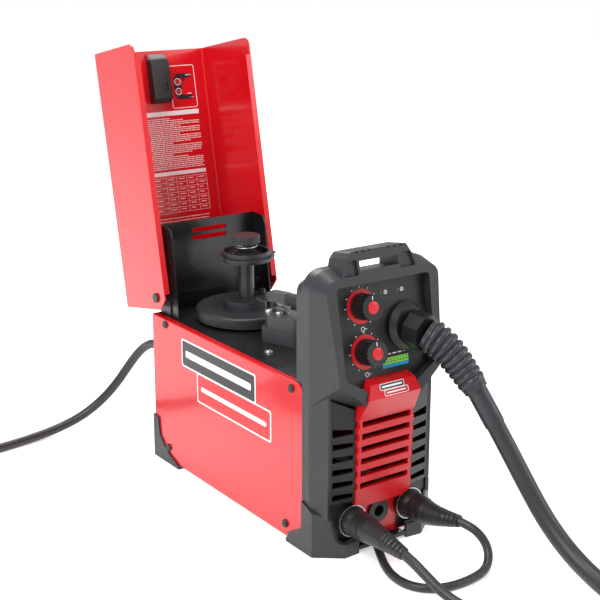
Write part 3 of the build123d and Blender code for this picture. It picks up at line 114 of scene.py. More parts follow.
def look(name, colour, rough, metal=0.0, coat=0.0, grain=(2500, 0.12), mottle=(25, 0.06), spread=0.05,
         scuff=0.0, stretch=(1, 1, 1), broad=None):
    """A finish: mottled colour, uneven gloss, fine surface texture and a few pale scuffs."""
    material = bpy.data.materials.new(name)
    material.use_nodes = True
    tree = material.node_tree
    shader = tree.nodes["Principled BSDF"]
    shader.inputs["Metallic"].default_value = metal
    shader.inputs["Coat Weight"].default_value = coat
    shader.inputs["Coat Roughness"].default_value = COAT_ROUGHNESS
    coords = tree.nodes.new("ShaderNodeTexCoord")
    mapping = tree.nodes.new("ShaderNodeMapping")
    mapping.inputs["Scale"].default_value = stretch
    tree.links.new(coords.outputs["Object"], mapping.inputs["Vector"])

    def noise(scale, detail):
        node = tree.nodes.new("ShaderNodeTexNoise")
        node.inputs["Scale"].default_value = scale
        node.inputs["Detail"].default_value = detail
        tree.links.new(mapping.outputs["Vector"], node.inputs["Vector"])
        return node

    blotch = noise(mottle[0], 5)
    tint = tree.nodes.new("ShaderNodeMix")
    tint.data_type = "RGBA"
    dark = [value * (1 - mottle[1]) for value in colour]
    light = [min(1, value * (1 + mottle[1])) for value in colour]
    tint.inputs[6].default_value = (*dark, 1)
    tint.inputs[7].default_value = (*light, 1)
    tree.links.new(blotch.outputs["Fac"], tint.inputs["Factor"])
    tone = tint.outputs[2]
    if scuff:
        streak = noise(SCUFF_SCALE, 8)
        window = tree.nodes.new("ShaderNodeMapRange")
        window.inputs["From Min"].default_value = 0.66
        window.inputs["From Max"].default_value = 0.78
        window.inputs["To Max"].default_value = scuff
        tree.links.new(streak.outputs["Fac"], window.inputs["Value"])
        worn = tree.nodes.new("ShaderNodeMix")
        worn.data_type = "RGBA"
        worn.inputs[7].default_value = (*[0.5 * value + 0.18 for value in colour], 1)
        tree.links.new(window.outputs["Result"], worn.inputs["Factor"])
        tree.links.new(tone, worn.inputs[6])
        tone = worn.outputs[2]
    tree.links.new(tone, shader.inputs["Base Color"])
    gloss = noise(mottle[0] * 3, 6)
    smear = tree.nodes.new("ShaderNodeMapRange")
    smear.inputs["From Min"].default_value = 0.3
    smear.inputs["From Max"].default_value = 0.7
    smear.inputs["To Min"].default_value = max(0.02, rough - spread)
    smear.inputs["To Max"].default_value = rough + spread
    tree.links.new(gloss.outputs["Fac"], smear.inputs["Value"])
    tree.links.new(smear.outputs["Result"], shader.inputs["Roughness"])
    fine = noise(grain[0], 2)
    bump = tree.nodes.new("ShaderNodeBump")
    bump.inputs["Strength"].default_value = grain[1]
    bump.inputs["Distance"].default_value = FINE_DEPTH
    tree.links.new(fine.outputs["Fac"], bump.inputs["Height"])
    if broad:
        wave = noise(broad[0], 1)
        swell = tree.nodes.new("ShaderNodeBump")
        swell.inputs["Strength"].default_value = broad[1]
        swell.inputs["Distance"].default_value = BROAD_DEPTH
        tree.links.new(wave.outputs["Fac"], swell.inputs["Height"])
        tree.links.new(swell.outputs["Normal"], bump.inputs["Normal"])
    tree.links.new(bump.outputs["Normal"], shader.inputs["Normal"])
    return material


LOOKS = {
    "red_paint": look("red_paint_coat", (0.60, 0.002, 0.008), 0.24, coat=0.35, grain=(700, 0.1),
                      mottle=(6, 0.03), spread=0.04, broad=(260, 0.09)),
    "black_paint": look("black_paint_coat", (0.008, 0.008, 0.009), 0.27, grain=(1100, 0.16),
                        mottle=(12, 0.15), broad=(240, 0.06)),
    "zinc_steel": look("zinc_steel_coat", (0.56, 0.57, 0.58), 0.34, metal=1.0, grain=(900, 0.1),
                       mottle=(45, 0.12)),
    "dark_screw": look("dark_screw_coat", (0.035, 0.035, 0.038), 0.32, metal=0.6, grain=(1500, 0.1),
                       mottle=(200, 0.3), scuff=0.3),
    "grey_plastic": look("grey_plastic_grain", (0.021, 0.0225, 0.026), 0.42, grain=(3200, 0.35),
                         mottle=(18, 0.12), scuff=0.05),
    "black_plastic": look("black_plastic_grain", (0.009, 0.009, 0.010), 0.36, grain=(3000, 0.3),
                          mottle=(30, 0.2), scuff=0.04),
    "red_plastic": look("red_plastic_grain", (0.56, 0.004, 0.010), 0.33, grain=(2600, 0.22),
                        mottle=(14, 0.04)),
    "knob_plastic": look("knob_plastic_grain", (0.010, 0.010, 0.011), 0.2, grain=(2800, 0.2),
                         mottle=(40, 0.2)),
    "light_plastic": look("light_plastic_grain", (0.045, 0.047, 0.052), 0.38, grain=(2400, 0.25),
                          mottle=(30, 0.1), scuff=0.06),
    "board": look("board_laminate", (0.01, 0.11, 0.035), 0.35, grain=(700, 0.2), mottle=(260, 0.5)),
    "brass": look("brass_turned", (0.70, 0.48, 0.18), 0.28, metal=1.0, grain=(1800, 0.1), mottle=(60, 0.12)),
    "steel": look("steel_turned", (0.60, 0.60, 0.61), 0.26, metal=1.0, grain=(1500, 0.12), mottle=(80, 0.1),
                  scuff=0.2, stretch=(1, 1, 5)),
    "motor_metal": look("motor_metal_cast", (0.32, 0.32, 0.33), 0.42, metal=0.9, grain=(900, 0.3),
                        mottle=(50, 0.15)),
    "copper_core": look("copper_core_wound", (0.42, 0.17, 0.07), 0.35, metal=0.8, grain=(600, 0.4),
                        mottle=(140, 0.3), stretch=(1, 1, 6)),
    "black_rubber": look("black_rubber_moulded", (0.010, 0.010, 0.011), 0.42, grain=(1700, 0.3),
                         mottle=(35, 0.25), scuff=0.06),
    "grey_rubber": look("grey_rubber_moulded", (0.022, 0.024, 0.030), 0.36, grain=(1900, 0.3),
                        mottle=(35, 0.2), scuff=0.06),
}
for node in nodes.values():
    for holder in node.material_slots:
        holder.material = LOOKS[holder.material.name.split(".")[0]]
# The latch bolt's pale grey is a painted highlight: its sloped top lit from above, given as a lighter
# plastic.
bolt_painted_highlight = look("latch_bolt_painted_highlight", (0.15, 0.15, 0.16), 0.35, grain=(2400, 0.25), mottle=(60, 0.1))
nodes["latch_bolt"].material_slots[0].material = bolt_painted_highlight
worn_steel = look("worn_steel", (0.20, 0.20, 0.21), 0.38, metal=0.9, grain=(1500, 0.2), mottle=(90, 0.2))
nodes["drive_roll"].material_slots[0].material = worn_steel
nodes["pressure_roll"].material_slots[0].material = worn_steel
nodes["wire_guides"].material_slots[0].material = LOOKS["knob_plastic"]
cable_jacket = look("cable_jacket", (0.022, 0.023, 0.026), 0.42, grain=(1300, 0.35), mottle=(22, 0.25),
                    scuff=0.08)
white_ink = look("white_ink", (0.82, 0.82, 0.82), 0.42, grain=(1800, 0.1), mottle=(300, 0.03))
dark_ink = look("dark_ink", (0.014, 0.015, 0.018), 0.38, grain=(1800, 0.1), mottle=(200, 0.1))
red_ink = look("red_ink", (0.62, 0.01, 0.016), 0.34, grain=(1800, 0.1), mottle=(120, 0.04))
green_ink = look("green_ink", (0.22, 0.62, 0.06), 0.4, grain=(1800, 0.1), mottle=(200, 0.08))
blue_ink = look("blue_ink", (0.01, 0.27, 0.55), 0.4, grain=(1800, 0.1), mottle=(200, 0.08))
bright_steel = look("bright_steel", (0.78, 0.78, 0.79), 0.36, metal=1.0, grain=(1400, 0.1), mottle=(120, 0.1))


# ---------------------------------------------------------------- mesh building
class Shape:
    """Mesh pieces gathered into one object."""

    def __init__(self):
        self.mesh = bmesh.new()

    def plate(self, seat, outline, low, high):
        """A flat outline on a seat, from one height to another, all in mm."""
        bottom = [self.mesh.verts.new(seat.at(u, v, low)) for u, v in outline]
        top = [self.mesh.verts.new(seat.at(u, v, high)) for u, v in outline]
        self.mesh.faces.new(list(reversed(bottom)))
        self.mesh.faces.new(top)
        for index in range(len(outline)):
            after = (index + 1) % len(outline)
            self.mesh.faces.new((bottom[index], bottom[after], top[after], top[index]))

    def bar(self, seat, across, along, low, high, corner=0.0):
        self.plate(seat, rounded(across, along, corner), low, high)

    def loop(self, seat, outer, inner, low, high):
        """The band between two outlines with the same number of points."""
        rows = []
        for outline in (outer, inner):
            for height in (low, high):
                rows.append([self.mesh.verts.new(seat.at(u, v, height)) for u, v in outline])
        outer_low, outer_high, inner_low, inner_high = rows
        count = len(outer)
        for index in range(count):
            after = (index + 1) % count
            self.mesh.faces.new((outer_low[index], outer_low[after], outer_high[after], outer_high[index]))
            self.mesh.faces.new((inner_low[after], inner_low[index], inner_high[index], inner_high[after]))
            self.mesh.faces.new((outer_high[index], outer_high[after], inner_high[after], inner_high[index]))
            self.mesh.faces.new((outer_low[after], outer_low[index], inner_low[index], inner_low[after]))

    def turned(self, seat, centre, profile, sides=56):
        """A turned form about a seat's outward axis, from a profile of radius and height."""
        rings = []
        for radius, height in profile:
            ring = []
            for step in range(sides):
                turn = 2 * math.pi * step / sides
                across = centre[0] + radius * math.cos(turn)
                along = centre[1] + radius * math.sin(turn)
                ring.append(self.mesh.verts.new(seat.at(across, along, height)))
            rings.append(ring)
        self.skin(rings)

    def swept(self, points, radii, sides=40):
        """A round form along a line of points, with a radius at each, all in metres and mm."""
        rings = []
        side = None
        for index, point in enumerate(points):
            before = points[max(index - 1, 0)]
            after = points[min(index + 1, len(points) - 1)]
            along = (after - before).normalized()
            side = along.orthogonal() if side is None else side - along * side.dot(along)
            side.normalize()
            other = along.cross(side)
            ring = []
            for step in range(sides):
                turn = 2 * math.pi * step / sides
                reach = (side * math.cos(turn) + other * math.sin(turn)) * radii[index] / 1000
                ring.append(self.mesh.verts.new(point + reach))
            rings.append(ring)
        self.skin(rings)

    def skin(self, rings):
        count = len(rings[0])
        for ring, following in zip(rings, rings[1:]):
            for index in range(count):
                after = (index + 1) % count
                self.mesh.faces.new((ring[index], ring[after], following[after], following[index]))
        self.mesh.faces.new(list(reversed(rings[0])))
        self.mesh.faces.new(rings[-1])

    def piece(self, name, body, material, slot, bevel=0.0, smooth=40):
        """Finish the mesh as one object that rides on a body."""
        bmesh.ops.recalc_face_normals(self.mesh, faces=self.mesh.faces)
        data = bpy.data.meshes.new(name)
        self.mesh.to_mesh(data)
        self.mesh.free()
        data.materials.append(material)
        data.shade_smooth()
        data.set_sharp_from_angle(angle=math.radians(smooth))
        item = bpy.data.objects.new(name, data)
        scene.collection.objects.link(item)
        if bevel:
            edge = item.modifiers.new("edge", "BEVEL")
            edge.width = bevel / 1000
            edge.segments = 2
            edge.limit_method = "ANGLE"
        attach(item, body)
        return item


def rounded(across, along, corner=0.0, steps=5):
    """A rectangle's outline, with rounded corners if asked."""
    (left, right), (low, high) = sorted(across), sorted(along)
    if not corner:
        return [(left, low), (right, low), (right, high), (left, high)]
    outline = []
    for u, v, start in ((right - corner, low + corner, -90), (right - corner, high - corner, 0),
                        (left + corner, high - corner, 90), (left + corner, low + corner, 180)):
        for step in range(steps + 1):
            turn = math.radians(start + 90 * step / steps)
            outline.append((u + corner * math.cos(turn), v + corner * math.sin(turn)))
    return outline


def ring_outline(centre, radius, sides=56):
    return [(centre[0] + radius * math.cos(2 * math.pi * step / sides),
             centre[1] + radius * math.sin(2 * math.pi * step / sides)) for step in range(sides)]


def spline_points(points, per_span=14):
    """Points along the smooth line that a route's control points give."""
    knots = [points[0]] + [(a + b) / 2 for a, b in zip(points[1:-1], points[2:-1])] + [points[-1]]
    line = [points[0]]
    for index, control in enumerate(points[1:-1]):
        start, end = knots[index], knots[index + 1]
        for step in range(1, per_span + 1):
            t = step / per_span
            line.append(start * (1 - t) ** 2 + control * 2 * t * (1 - t) + end * t * t)
    return line


def distances(line):
    run = [0.0]
    for before, after in zip(line, line[1:]):
        run.append(run[-1] + (after - before).length * 1000)
    return run


# ---------------------------------------------------------------- cords
def wind(centre, start, hand, radius, pitch, low, rise, bottom_turns, total_turns, steps=16):
    """The turns of a put-away cord: a flat spiral inwards, a rise, and a second layer outwards."""
    points = []
    layer_turns = 0.17
    for step in range(1, round(total_turns * steps) + 1):
        turn = step / steps
        if turn <= bottom_turns + layer_turns:
            reach = radius - pitch * turn
        else:
            reach = radius - pitch * (2 * (bottom_turns + layer_turns) - turn)
        share = min(max((turn - bottom_turns) / layer_turns, 0), 1)
        angle = math.radians(start + hand * 360 * turn)
        points.append(place(centre[0] + reach * 1.013 * math.cos(angle),
                            centre[1] + reach * 1.013 * math.sin(angle), low + rise * share))
    return points


def cord_piece(name, points, diameter, material):
    """A round cord along its control points."""
    curve = bpy.data.curves.new(name, "CURVE")
    curve.dimensions = "3D"
    curve.bevel_depth = diameter / 2000
    curve.bevel_resolution = 8
    curve.resolution_u = 8
    curve.use_fill_caps = True
    spline = curve.splines.new("NURBS")
    spline.points.add(len(points) - 1)
    for knot, point in zip(spline.points, points):
        knot.co = (*point, 1)
    spline.order_u = 3
    spline.use_endpoint_u = True
    curve.materials.append(material)
    item = bpy.data.objects.new(name, curve)
    scene.collection.objects.link(item)
    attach(item, "case")
    return item


POWER_ROUTE = [(-50, 335, 127.5), (-50.5, 353, 124.5), (-52, 370, 116), (-56, 384.5, 103), (-63, 398, 83),
               (-74, 410, 59), (-91, 420, 37), (-116, 427, 19), (-148, 430, 9), (-184, 427, 5.6),
               (-222, 421, 5.5), (-260, 417.5, 5.5), (-292, 417, 5.5), (-318, 418, 5.5)]
GUN_ROUTE = [(66, -97, 178), (76, -112, 148), (85, -130, 116), (92, -150, 84), (97, -173, 54),
             (101, -204, 29), (102, -241, 14.5), (100, -279, 9.7), (97.5, -316, 9.5), (97, -350, 9.5),
             (99, -383, 9.5)]
WORK_ROUTE = [(-37, -116, 33.7), (-36.7, -130, 31), (-35, -149, 23), (-31, -167, 13), (-24.5, -186, 6.3),
              (-17, -209, 5), (-14, -234, 5), (-19, -256, 5), (-32, -276, 5), (-53, -290, 5), (-79, -302, 5),
              (-105, -309, 5)]
POLARITY_ROUTE = [(44, -103.5, 41), (48.5, -116, 39), (53.5, -126.5, 32.5), (56, -135, 22.5),
                  (52.5, -142, 12.5), (43, -147.5, 6), (28, -151, 4.5), (8, -153, 4.5), (-13, -150.5, 4.5),
                  (-30, -140.5, 4.5), (-39, -124, 4.5), (-39, -104, 4.5), (-33, -85, 4.5),
                  (-24.5, -67, 5.5), (-17.5, -51.5, 10.5), (-12.5, -38.5, 15), (-10.5, -29, 16)]
BOOT_ROUTE = [(36, -58, 228), (43, -69.5, 221.5), (51, -79.5, 209), (59, -88, 193.5), (67, -98.5, 175)]


def routed(route):
    return [place(*point) for point in route]


power_points = routed(POWER_ROUTE)
power_points += wind((-345, 352), start=90, hand=1, radius=66, pitch=11.4, low=5.5, rise=11.2, bottom_turns=2,
                     total_turns=4.2)
power_points += routed([(-410.5, 351, 18.5), (-410.5, 327.5, 23), (-404.4, 306.6, 29), (-386, 293.9, 34),
                        (-371, 292, 35.2)])
gun_points = routed(GUN_ROUTE)
gun_points += wind((-15, -415), start=0, hand=-1, radius=114, pitch=19.5, low=9.5, rise=19.3, bottom_turns=2,
                   total_turns=4.04)
gun_points += routed([(74.5, -478.5, 29.6), (57.5, -497, 31.5), (40, -507, 34.5), (24, -510, 36)])
work_points = routed(WORK_ROUTE)
work_points += wind((-135, -240), start=-90, hand=-1, radius=70, pitch=10.4, low=5, rise=10.2,
                    bottom_turns=3.3, total_turns=6.0)
work_points += routed([(-160, -303, 16), (-183, -306.5, 18), (-204, -307, 20.5), (-222.7, -306, 23),
                       (-235, -293.7, 25.5), (-235, -276.3, 27.5), (-222.7, -264, 28.3), (-205.3, -264, 28.3),
                       (-203, -264, 28.3)])
POWER_DIAMETER = 11  # mm, as the three below
GUN_DIAMETER = 19
WORK_DIAMETER = 10
POLARITY_DIAMETER = 9
power_cable = cord_piece("power_cable", power_points, POWER_DIAMETER, cable_jacket)
gun_hose = cord_piece("gun_hose", gun_points, GUN_DIAMETER, cable_jacket)
work_cable = cord_piece("work_cable", work_points, WORK_DIAMETER, cable_jacket)
polarity_cable = cord_piece("polarity_cable", routed(POLARITY_ROUTE), POLARITY_DIAMETER, cable_jacket)
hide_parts("power_cord", "power_coil")
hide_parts("gun_cable", "gun_coil")
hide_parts("work_lead", "work_coil")
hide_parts("polarity_lead")

# Ribbed boot of the gun's cable, in mm and in shares of its length
BOOT_RADIUS = 15.2
BOOT_TAPER = 2.6
RIDGES = 9
FIRST_RIDGE = 0.07
RIDGE_PITCH = 0.095
RIDGE_SHIFT = 2.2
RIDGE_HALF_WIDTH = 3.15
RIDGE_RADIUS = 18
RIDGE_TAPER = 0.42
RIDGE_ROUNDNESS = 3.2
SLEEVE_START = 0.885
SLEEVE_RADIUS = 13.9
SLEEVE_TAPER = 1.6
SHRINK_END = 46
SHRINK_LIP = 43
boot_line = spline_points(routed(BOOT_ROUTE), 60)
boot_run = distances(boot_line)
boot_length = boot_run[-1]
boot_radii = []
for run in boot_run:
    radius = BOOT_RADIUS - BOOT_TAPER * run / boot_length
    for ridge in range(RIDGES):
        middle = boot_length * (FIRST_RIDGE + ridge * RIDGE_PITCH) + RIDGE_SHIFT
        offset = abs(run - middle) / RIDGE_HALF_WIDTH
        if offset < 1:
            top = RIDGE_RADIUS - ridge * RIDGE_TAPER
            radius = max(radius, radius + (top - radius) * (1 - offset ** RIDGE_ROUNDNESS))
    sleeve = boot_length * SLEEVE_START
    if run > sleeve:
        radius = max(radius, SLEEVE_RADIUS - SLEEVE_TAPER * (run - sleeve) / (boot_length - sleeve))
    boot_radii.append(radius)
boot = Shape()
boot.swept(boot_line, boot_radii, 56)
boot = boot.piece("cable_boot", "case", LOOKS["grey_rubber"], "grey_rubber", smooth=60)
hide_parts("gun_boot")
shrink_line = spline_points(routed(GUN_ROUTE[:5]), 12)
shrink_run = distances(shrink_line)
shrink = Shape()
shrink_points = [point for point, run in zip(shrink_line, shrink_run) if run < SHRINK_END]
shrink_radii = [10.5 if run < SHRINK_LIP else 10.1 for run in shrink_run if run < SHRINK_END]
shrink.swept(shrink_points, shrink_radii, 40)
shrink = shrink.piece("cable_sleeve", "case", LOOKS["grey_rubber"], "grey_rubber", smooth=60)


PIN_END = 17  # mm along a twist-lock plug, as the two below
HEAD_END = 40
COLLAR_END = 46
HEAD_RADIUS = 14.35
COLLAR_RADIUS = 13.2
TAIL_TAPER = 6.8
GROOVE_PITCH = 5.2
GROOVE_WIDTH = 1.5


def plug_tail(name, centre, tail, node):
    """A twist-lock plug: ringed head, collar and a tapered, grooved tail."""
    head = [place(centre[0], y, centre[1]) for y in (-18, -58, -64)]
    line = [head[0]] + [head[0].lerp(head[1], step / 40) for step in range(1, 41)]
    line += spline_points([head[1], head[2]] + routed(tail), 40)[1:]
    run = distances(line)
    whole = run[-1]
    radii = []
    for at in run:
        if at < PIN_END:
            radius = 6.0
        elif at < HEAD_END:
            radius = HEAD_RADIUS - 0.5 * (1 if 24 < at < 25.4 or 27.4 < at < 28.8 else 0)
            radius -= max(0, 18 - at) * 0.6
        elif at < COLLAR_END:
            radius = COLLAR_RADIUS
        else:
            share = (at - COLLAR_END) / (whole - COLLAR_END)
            radius = COLLAR_RADIUS - TAIL_TAPER * share ** 0.85
            if share > 0.45 and (at % GROOVE_PITCH) < GROOVE_WIDTH:
                radius -= 0.7
        radii.append(radius)
    shape = Shape()
    shape.swept(line, radii, 48)
    item = shape.piece(name, "case", LOOKS["black_rubber"], "black_rubber", smooth=35)
    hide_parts(node)
    return item


work_head = plug_tail("work_lead_plug", (-37, 36.5), [(-37, -90, 35.2), (-37, -118, 33.5)], "work_plug")
polarity_head = plug_tail("polarity_lead_plug", (37, 36.5), [(39.5, -84, 38), (44.6, -105.3, 41)],
                          "polarity_plug")

# ---------------------------------------------------------------- floor
FLOOR_REACH = 40.0  # m
FLOOR_GLOW = 0.45
floor_mesh = bpy.data.meshes.new("floor")
corners = [(-FLOOR_REACH, -FLOOR_REACH, 0), (FLOOR_REACH, -FLOOR_REACH, 0), (FLOOR_REACH, FLOOR_REACH, 0),
           (-FLOOR_REACH, FLOOR_REACH, 0)]
floor_mesh.from_pydata(corners, [], [(0, 1, 2, 3)])
paper = look("floor_paper", (0.9, 0.9, 0.9), 0.8, grain=(300, 0.02), mottle=(2, 0.005))
paper_inputs = paper.node_tree.nodes["Principled BSDF"].inputs
paper_inputs["Emission Color"].default_value = (1, 1, 1, 1)
paper_inputs["Emission Strength"].default_value = FLOOR_GLOW
floor_mesh.materials.append(paper)
floor = bpy.data.objects.new("floor", floor_mesh)
scene.collection.objects.link(floor)

# ---------------------------------------------------------------- control panel print and knobs
LEAN_COS = 0.986  # the panel leans back from the vertical
LEAN_SIN = 0.164
BEZEL_TOP = 283
PANEL_DEPTH = 10
bezel_face = Seat(place(0, -33, BEZEL_TOP), (1, 0, 0), (0, -LEAN_COS, LEAN_SIN))
panel = Seat(bezel_face.at(0, 0, -PANEL_DEPTH), (1, 0, 0), (0, -LEAN_COS, LEAN_SIN))
PANEL_Z = BEZEL_TOP - PANEL_DEPTH * LEAN_SIN


def on_panel(x, z):
    """A place on the panel from its x and its height, in mm."""
    return x, (z - PANEL_Z) / LEAN_COS


KNOBS = (("upper", -23.4, 258.7), ("lower", -23.0, 213.8))
CAP_PROFILE = [(0.4, 20.1), (6.3, 20.1), (6.3, 20.7), (5.9, 21.1), (2.5, 21.3), (0.4, 21.3)]
TICKS = 11
FIRST_TICK = 240  # degrees
TICK_STEP = 30  # degrees
rings = Shape()
ticks = Shape()
icons = Shape()
for name, x, z in KNOBS:
    centre = on_panel(x, z)
    rings.loop(panel, ring_outline(centre, 17.3), ring_outline(centre, 12.6), 0.02, 0.25)
    for step in range(TICKS):
        turn = math.radians(FIRST_TICK - TICK_STEP * step)
        along = Vector((math.cos(turn), math.sin(turn)))
        across = Vector((-along.y, along.x)) * 0.4
        inner = Vector(centre) + along * 18.6
        outer = Vector(centre) + along * 20.0
        ticks.plate(panel, [tuple(inner - across), tuple(outer - across), tuple(outer + across),
                            tuple(inner + across)], 0.03, 0.32)
    knob_seat = Seat(panel.at(*centre, 0), panel.x, panel.z)
    cap = Shape()
    cap.turned(knob_seat, (0, 0), CAP_PROFILE, 48)
    cap.piece(name + "_knob_cap", name + "_dial", LOOKS["red_plastic"], "red_plastic", smooth=50)
    # The pointer mark is drawn in white as a painted highlight: it stands for the thin glints on the knob's
    # fluted top, where the pointer itself is dark.
    mark = Shape()
    mark.bar(knob_seat, (-0.4, 0.4), (7.6, 11.4), 20.05, 20.2)
    mark.piece(name + "_knob_pointer_painted_highlight", name + "_dial", white_ink, "knob_plastic")
    low = centre[1] - 22.8
    icons.loop(panel, ring_outline((centre[0], low), 2.3, 28), ring_outline((centre[0], low), 1.8, 28),
               PRINT_LOW, PRINT_HIGH)
    icons.bar(panel, (centre[0] + 1.5, centre[0] + 5.0), (low - 0.25, low + 0.25), PRINT_LOW, PRINT_HIGH)
rings.piece("dial_rings", "case", red_ink, "red_plastic")
ticks.piece("dial_ticks", "case", white_ink, "light_plastic")
for x, z in ((2, 268), (22.6, 268)):
    centre = on_panel(x, z)
    lamp = (centre[0] + 6, centre[1])
    icons.loop(panel, ring_outline(lamp, 2.1, 24), ring_outline(lamp, 1.5, 24), PRINT_LOW, PRINT_HIGH)
    icons.bar(panel, (centre[0] + 5.6, centre[0] + 6.4), (centre[1] - 0.9, centre[1] + 0.9), PRINT_LOW,
              PRINT_HIGH)
for step in range(5):
    left = -3 + step * 6.8
    icons.bar(panel, (left, left + 4.6), (on_panel(0, 206)[1], on_panel(0, 207)[1]), PRINT_LOW, PRINT_HIGH)
icons.piece("panel_icons", "case", white_ink, "light_plastic")
chart = Shape()
chart.bar(panel, (-3, 30), (on_panel(0, 196.5)[1], on_panel(0, 203)[1]), 0.02, 0.18, 0.5)
chart.piece("panel_chart_green", "case", green_ink, "red_plastic")
chart = Shape()
chart.bar(panel, (-3, 30), (on_panel(0, 193)[1], on_panel(0, 196.4)[1]), 0.02, 0.18, 0.5)
chart.piece("panel_chart_blue", "case", blue_ink, "red_plastic")
chart = Shape()
for step in range(8):
    left = -1.4 + step * 4
    chart.bar(panel, (left, left + 2.2), (on_panel(0, 198.2)[1], on_panel(0, 199.2)[1]), 0.18, 0.24)
    chart.bar(panel, (left, left + 1.4), (on_panel(0, 200.6)[1], on_panel(0, 201.4)[1]), 0.18, 0.24)
chart.piece("panel_chart_marks", "case", dark_ink, "light_plastic")

# ---------------------------------------------------------------- plain badges on the left side and the nose
left_side = Seat(place(-75, 0, 0), (0, -1, 0), (-1, 0, 0))
upper_row = ((-238, -84), (133, 166))
lower_row = ((-205, -55), (99, 134.5))
backing = Shape()
border = Shape()
panes = Shape()
border.bar(left_side, upper_row[0], upper_row[1], 0.02, 0.22, 3.2)
border.bar(left_side, lower_row[0], lower_row[1], 0.03, 0.26, 3.2)
border.piece("badge_border", "case", white_ink, "light_plastic")
backing.bar(left_side, (upper_row[0][0] + 2, upper_row[0][1] - 2), (upper_row[1][0] + 2, upper_row[1][1] - 2),
            0.22, 0.3, 2.2)
backing.piece("badge_upper", "case", dark_ink, "grey_plastic")
panes.bar(left_side, (lower_row[0][0] + 2, lower_row[0][1] - 2), (lower_row[1][0] + 2, lower_row[1][1] - 2),
          0.26, 0.34, 2.2)
panes.piece("badge_lower", "case", red_ink, "red_plastic")
stripes = Shape()
stripes.bar(left_side, (upper_row[0][0] + 9, upper_row[0][1] - 9), (145.5, 153.5), 0.3, 0.36, 2.0)
stripes.bar(left_side, (lower_row[0][0] + 9, lower_row[0][1] - 9), (114, 119.5), 0.34, 0.4, 2.0)
stripes.piece("badge_stripes", "case", white_ink, "light_plastic")

# Plain plate on the nose
nose = Seat(place(0, -52.5, 177), (1, 0, 0), (0, -14, 5))
plate = Shape()
plate.loop(nose, rounded((-17.5, 13), (0, 6.6), 1.6), rounded((-16.9, 12.4), (0.6, 6.0), 1.2), PRINT_LOW,
           PRINT_HIGH)
plate.loop(nose, rounded((-13, 17), (-6.4, 0), 1.6), rounded((-12.4, 16.4), (-5.8, -0.6), 1.2), PRINT_LOW,
           PRINT_HIGH)
plate.bar(nose, (-15, 10.5), (2.3, 4.3), 0.14, 0.24, 0.8)
plate.bar(nose, (-10, 14), (-3.9, -2.5), PRINT_LOW, PRINT_HIGH, 0.6)
plate.piece("nose_plate", "case", white_ink, "light_plastic")
plate = Shape()
plate.bar(nose, (-16.8, 12.3), (0.7, 5.9), 0.02, 0.14, 1.0)
plate.piece("nose_plate_field", "case", dark_ink, "grey_plastic")

# ---------------------------------------------------------------- lid print
LID_ANGLE = math.radians(101.4)
HINGE_Y = 290.3
HINGE_Z = 201.3
UNDER = 83.7  # the lid's inside over the hinge, with the lid shut
INK_LOW = UNDER - 0.12
INK_HIGH = UNDER - 0.03
TOP_INK_LOW = UNDER - 0.2
lid = Seat(place(0, HINGE_Y, HINGE_Z), (1, 0, 0), (0, math.sin(LID_ANGLE), math.cos(LID_ANGLE)))


def lid_bar(shape, across, along, corner=0.0):
    """A printed bar on the lid's inside, placed by its closed position."""
    shape.bar(lid, across, (along[0] - HINGE_Y, along[1] - HINGE_Y), INK_LOW, INK_HIGH, corner)


TEXT_START = 83.5
TEXT_END = 146
TEXT_PITCH = 2.35
WORD_GAP = 0.9
TABLE_PITCH = 6.2
RULE_WIDTH = 0.35
random.seed(4)
print_white = Shape()
outer = rounded((22.5, 58), (20 - HINGE_Y, 72.5 - HINGE_Y), 3)
inner = rounded((23.3, 57.2), (20.8 - HINGE_Y, 71.7 - HINGE_Y), 2.2)
print_white.loop(lid, outer, inner, INK_LOW, INK_HIGH)
lid_bar(print_white, (-18, 58), (75, 80.5))
row = TEXT_START
while row < TEXT_END:
    left = -17.0
    limit = 57 if random.random() > 0.25 else random.uniform(15, 50)
    while left < limit - 2:
        word = min(random.uniform(1.6, 6.2), limit - left)
        lid_bar(print_white, (left, left + word), (row, row + 0.95))
        left += word + WORD_GAP
    row += TEXT_PITCH
lid_bar(print_white, (-18, 58), (149, 153.5))
for line in range(8):
    height = 156 + line * TABLE_PITCH
    lid_bar(print_white, (-18, 58), (height, height + RULE_WIDTH))
for column in (-18, 0, 14.5, 29, 43.5, 57.65):
    lid_bar(print_white, (column, column + RULE_WIDTH), (156, 199.7))
for line in range(7):
    for column in (-16, 3, 17.5, 32, 46.5):
        lid_bar(print_white, (column, column + random.uniform(5, 9)),
                (158.3 + line * TABLE_PITCH, 159.2 + line * TABLE_PITCH))
for height in (206, 209.5):
    left = -16.0
    while left < 52:
        word = random.uniform(1.6, 6.0)
        lid_bar(print_white, (left, left + word), (height, height + 0.9))
        left += word + WORD_GAP
for height in (31.5, 59):
    lid_bar(print_white, (46.5, 52.5), (height, height + 1.3))
print_white.piece("lid_print", "lid", white_ink, "light_plastic")
patch = Shape()
lid_bar(patch, (27.5, 38), (34, 58), corner=2.5)
lid_bar(patch, (30, 52), (30, 35.5), corner=2)
lid_bar(patch, (30, 52), (56.5, 62), corner=2)
lid_bar(patch, (40, 44), (35, 40), corner=1)
patch.piece("lid_diagram_patch", "lid", dark_ink, "black_plastic")
dials = Shape()
for height in (40, 52):
    centre = (33, height - HINGE_Y)
    dials.loop(lid, ring_outline(centre, 4.3, 32), ring_outline(centre, 3.5, 32), TOP_INK_LOW, INK_LOW)
    lead = height * 1.9 - 43.5 - HINGE_Y
    dials.bar(lid, (45, 51), (lead - 0.6, lead + 0.2), TOP_INK_LOW, INK_LOW)
dials.piece("lid_diagram_lines", "lid", white_ink, "light_plastic")
dots = Shape()
for height in (40, 52):
    dots.plate(lid, ring_outline((33, height - HINGE_Y), 2.2, 24), TOP_INK_LOW, INK_LOW)
dots.piece("lid_diagram_dots", "lid", red_ink, "red_plastic")

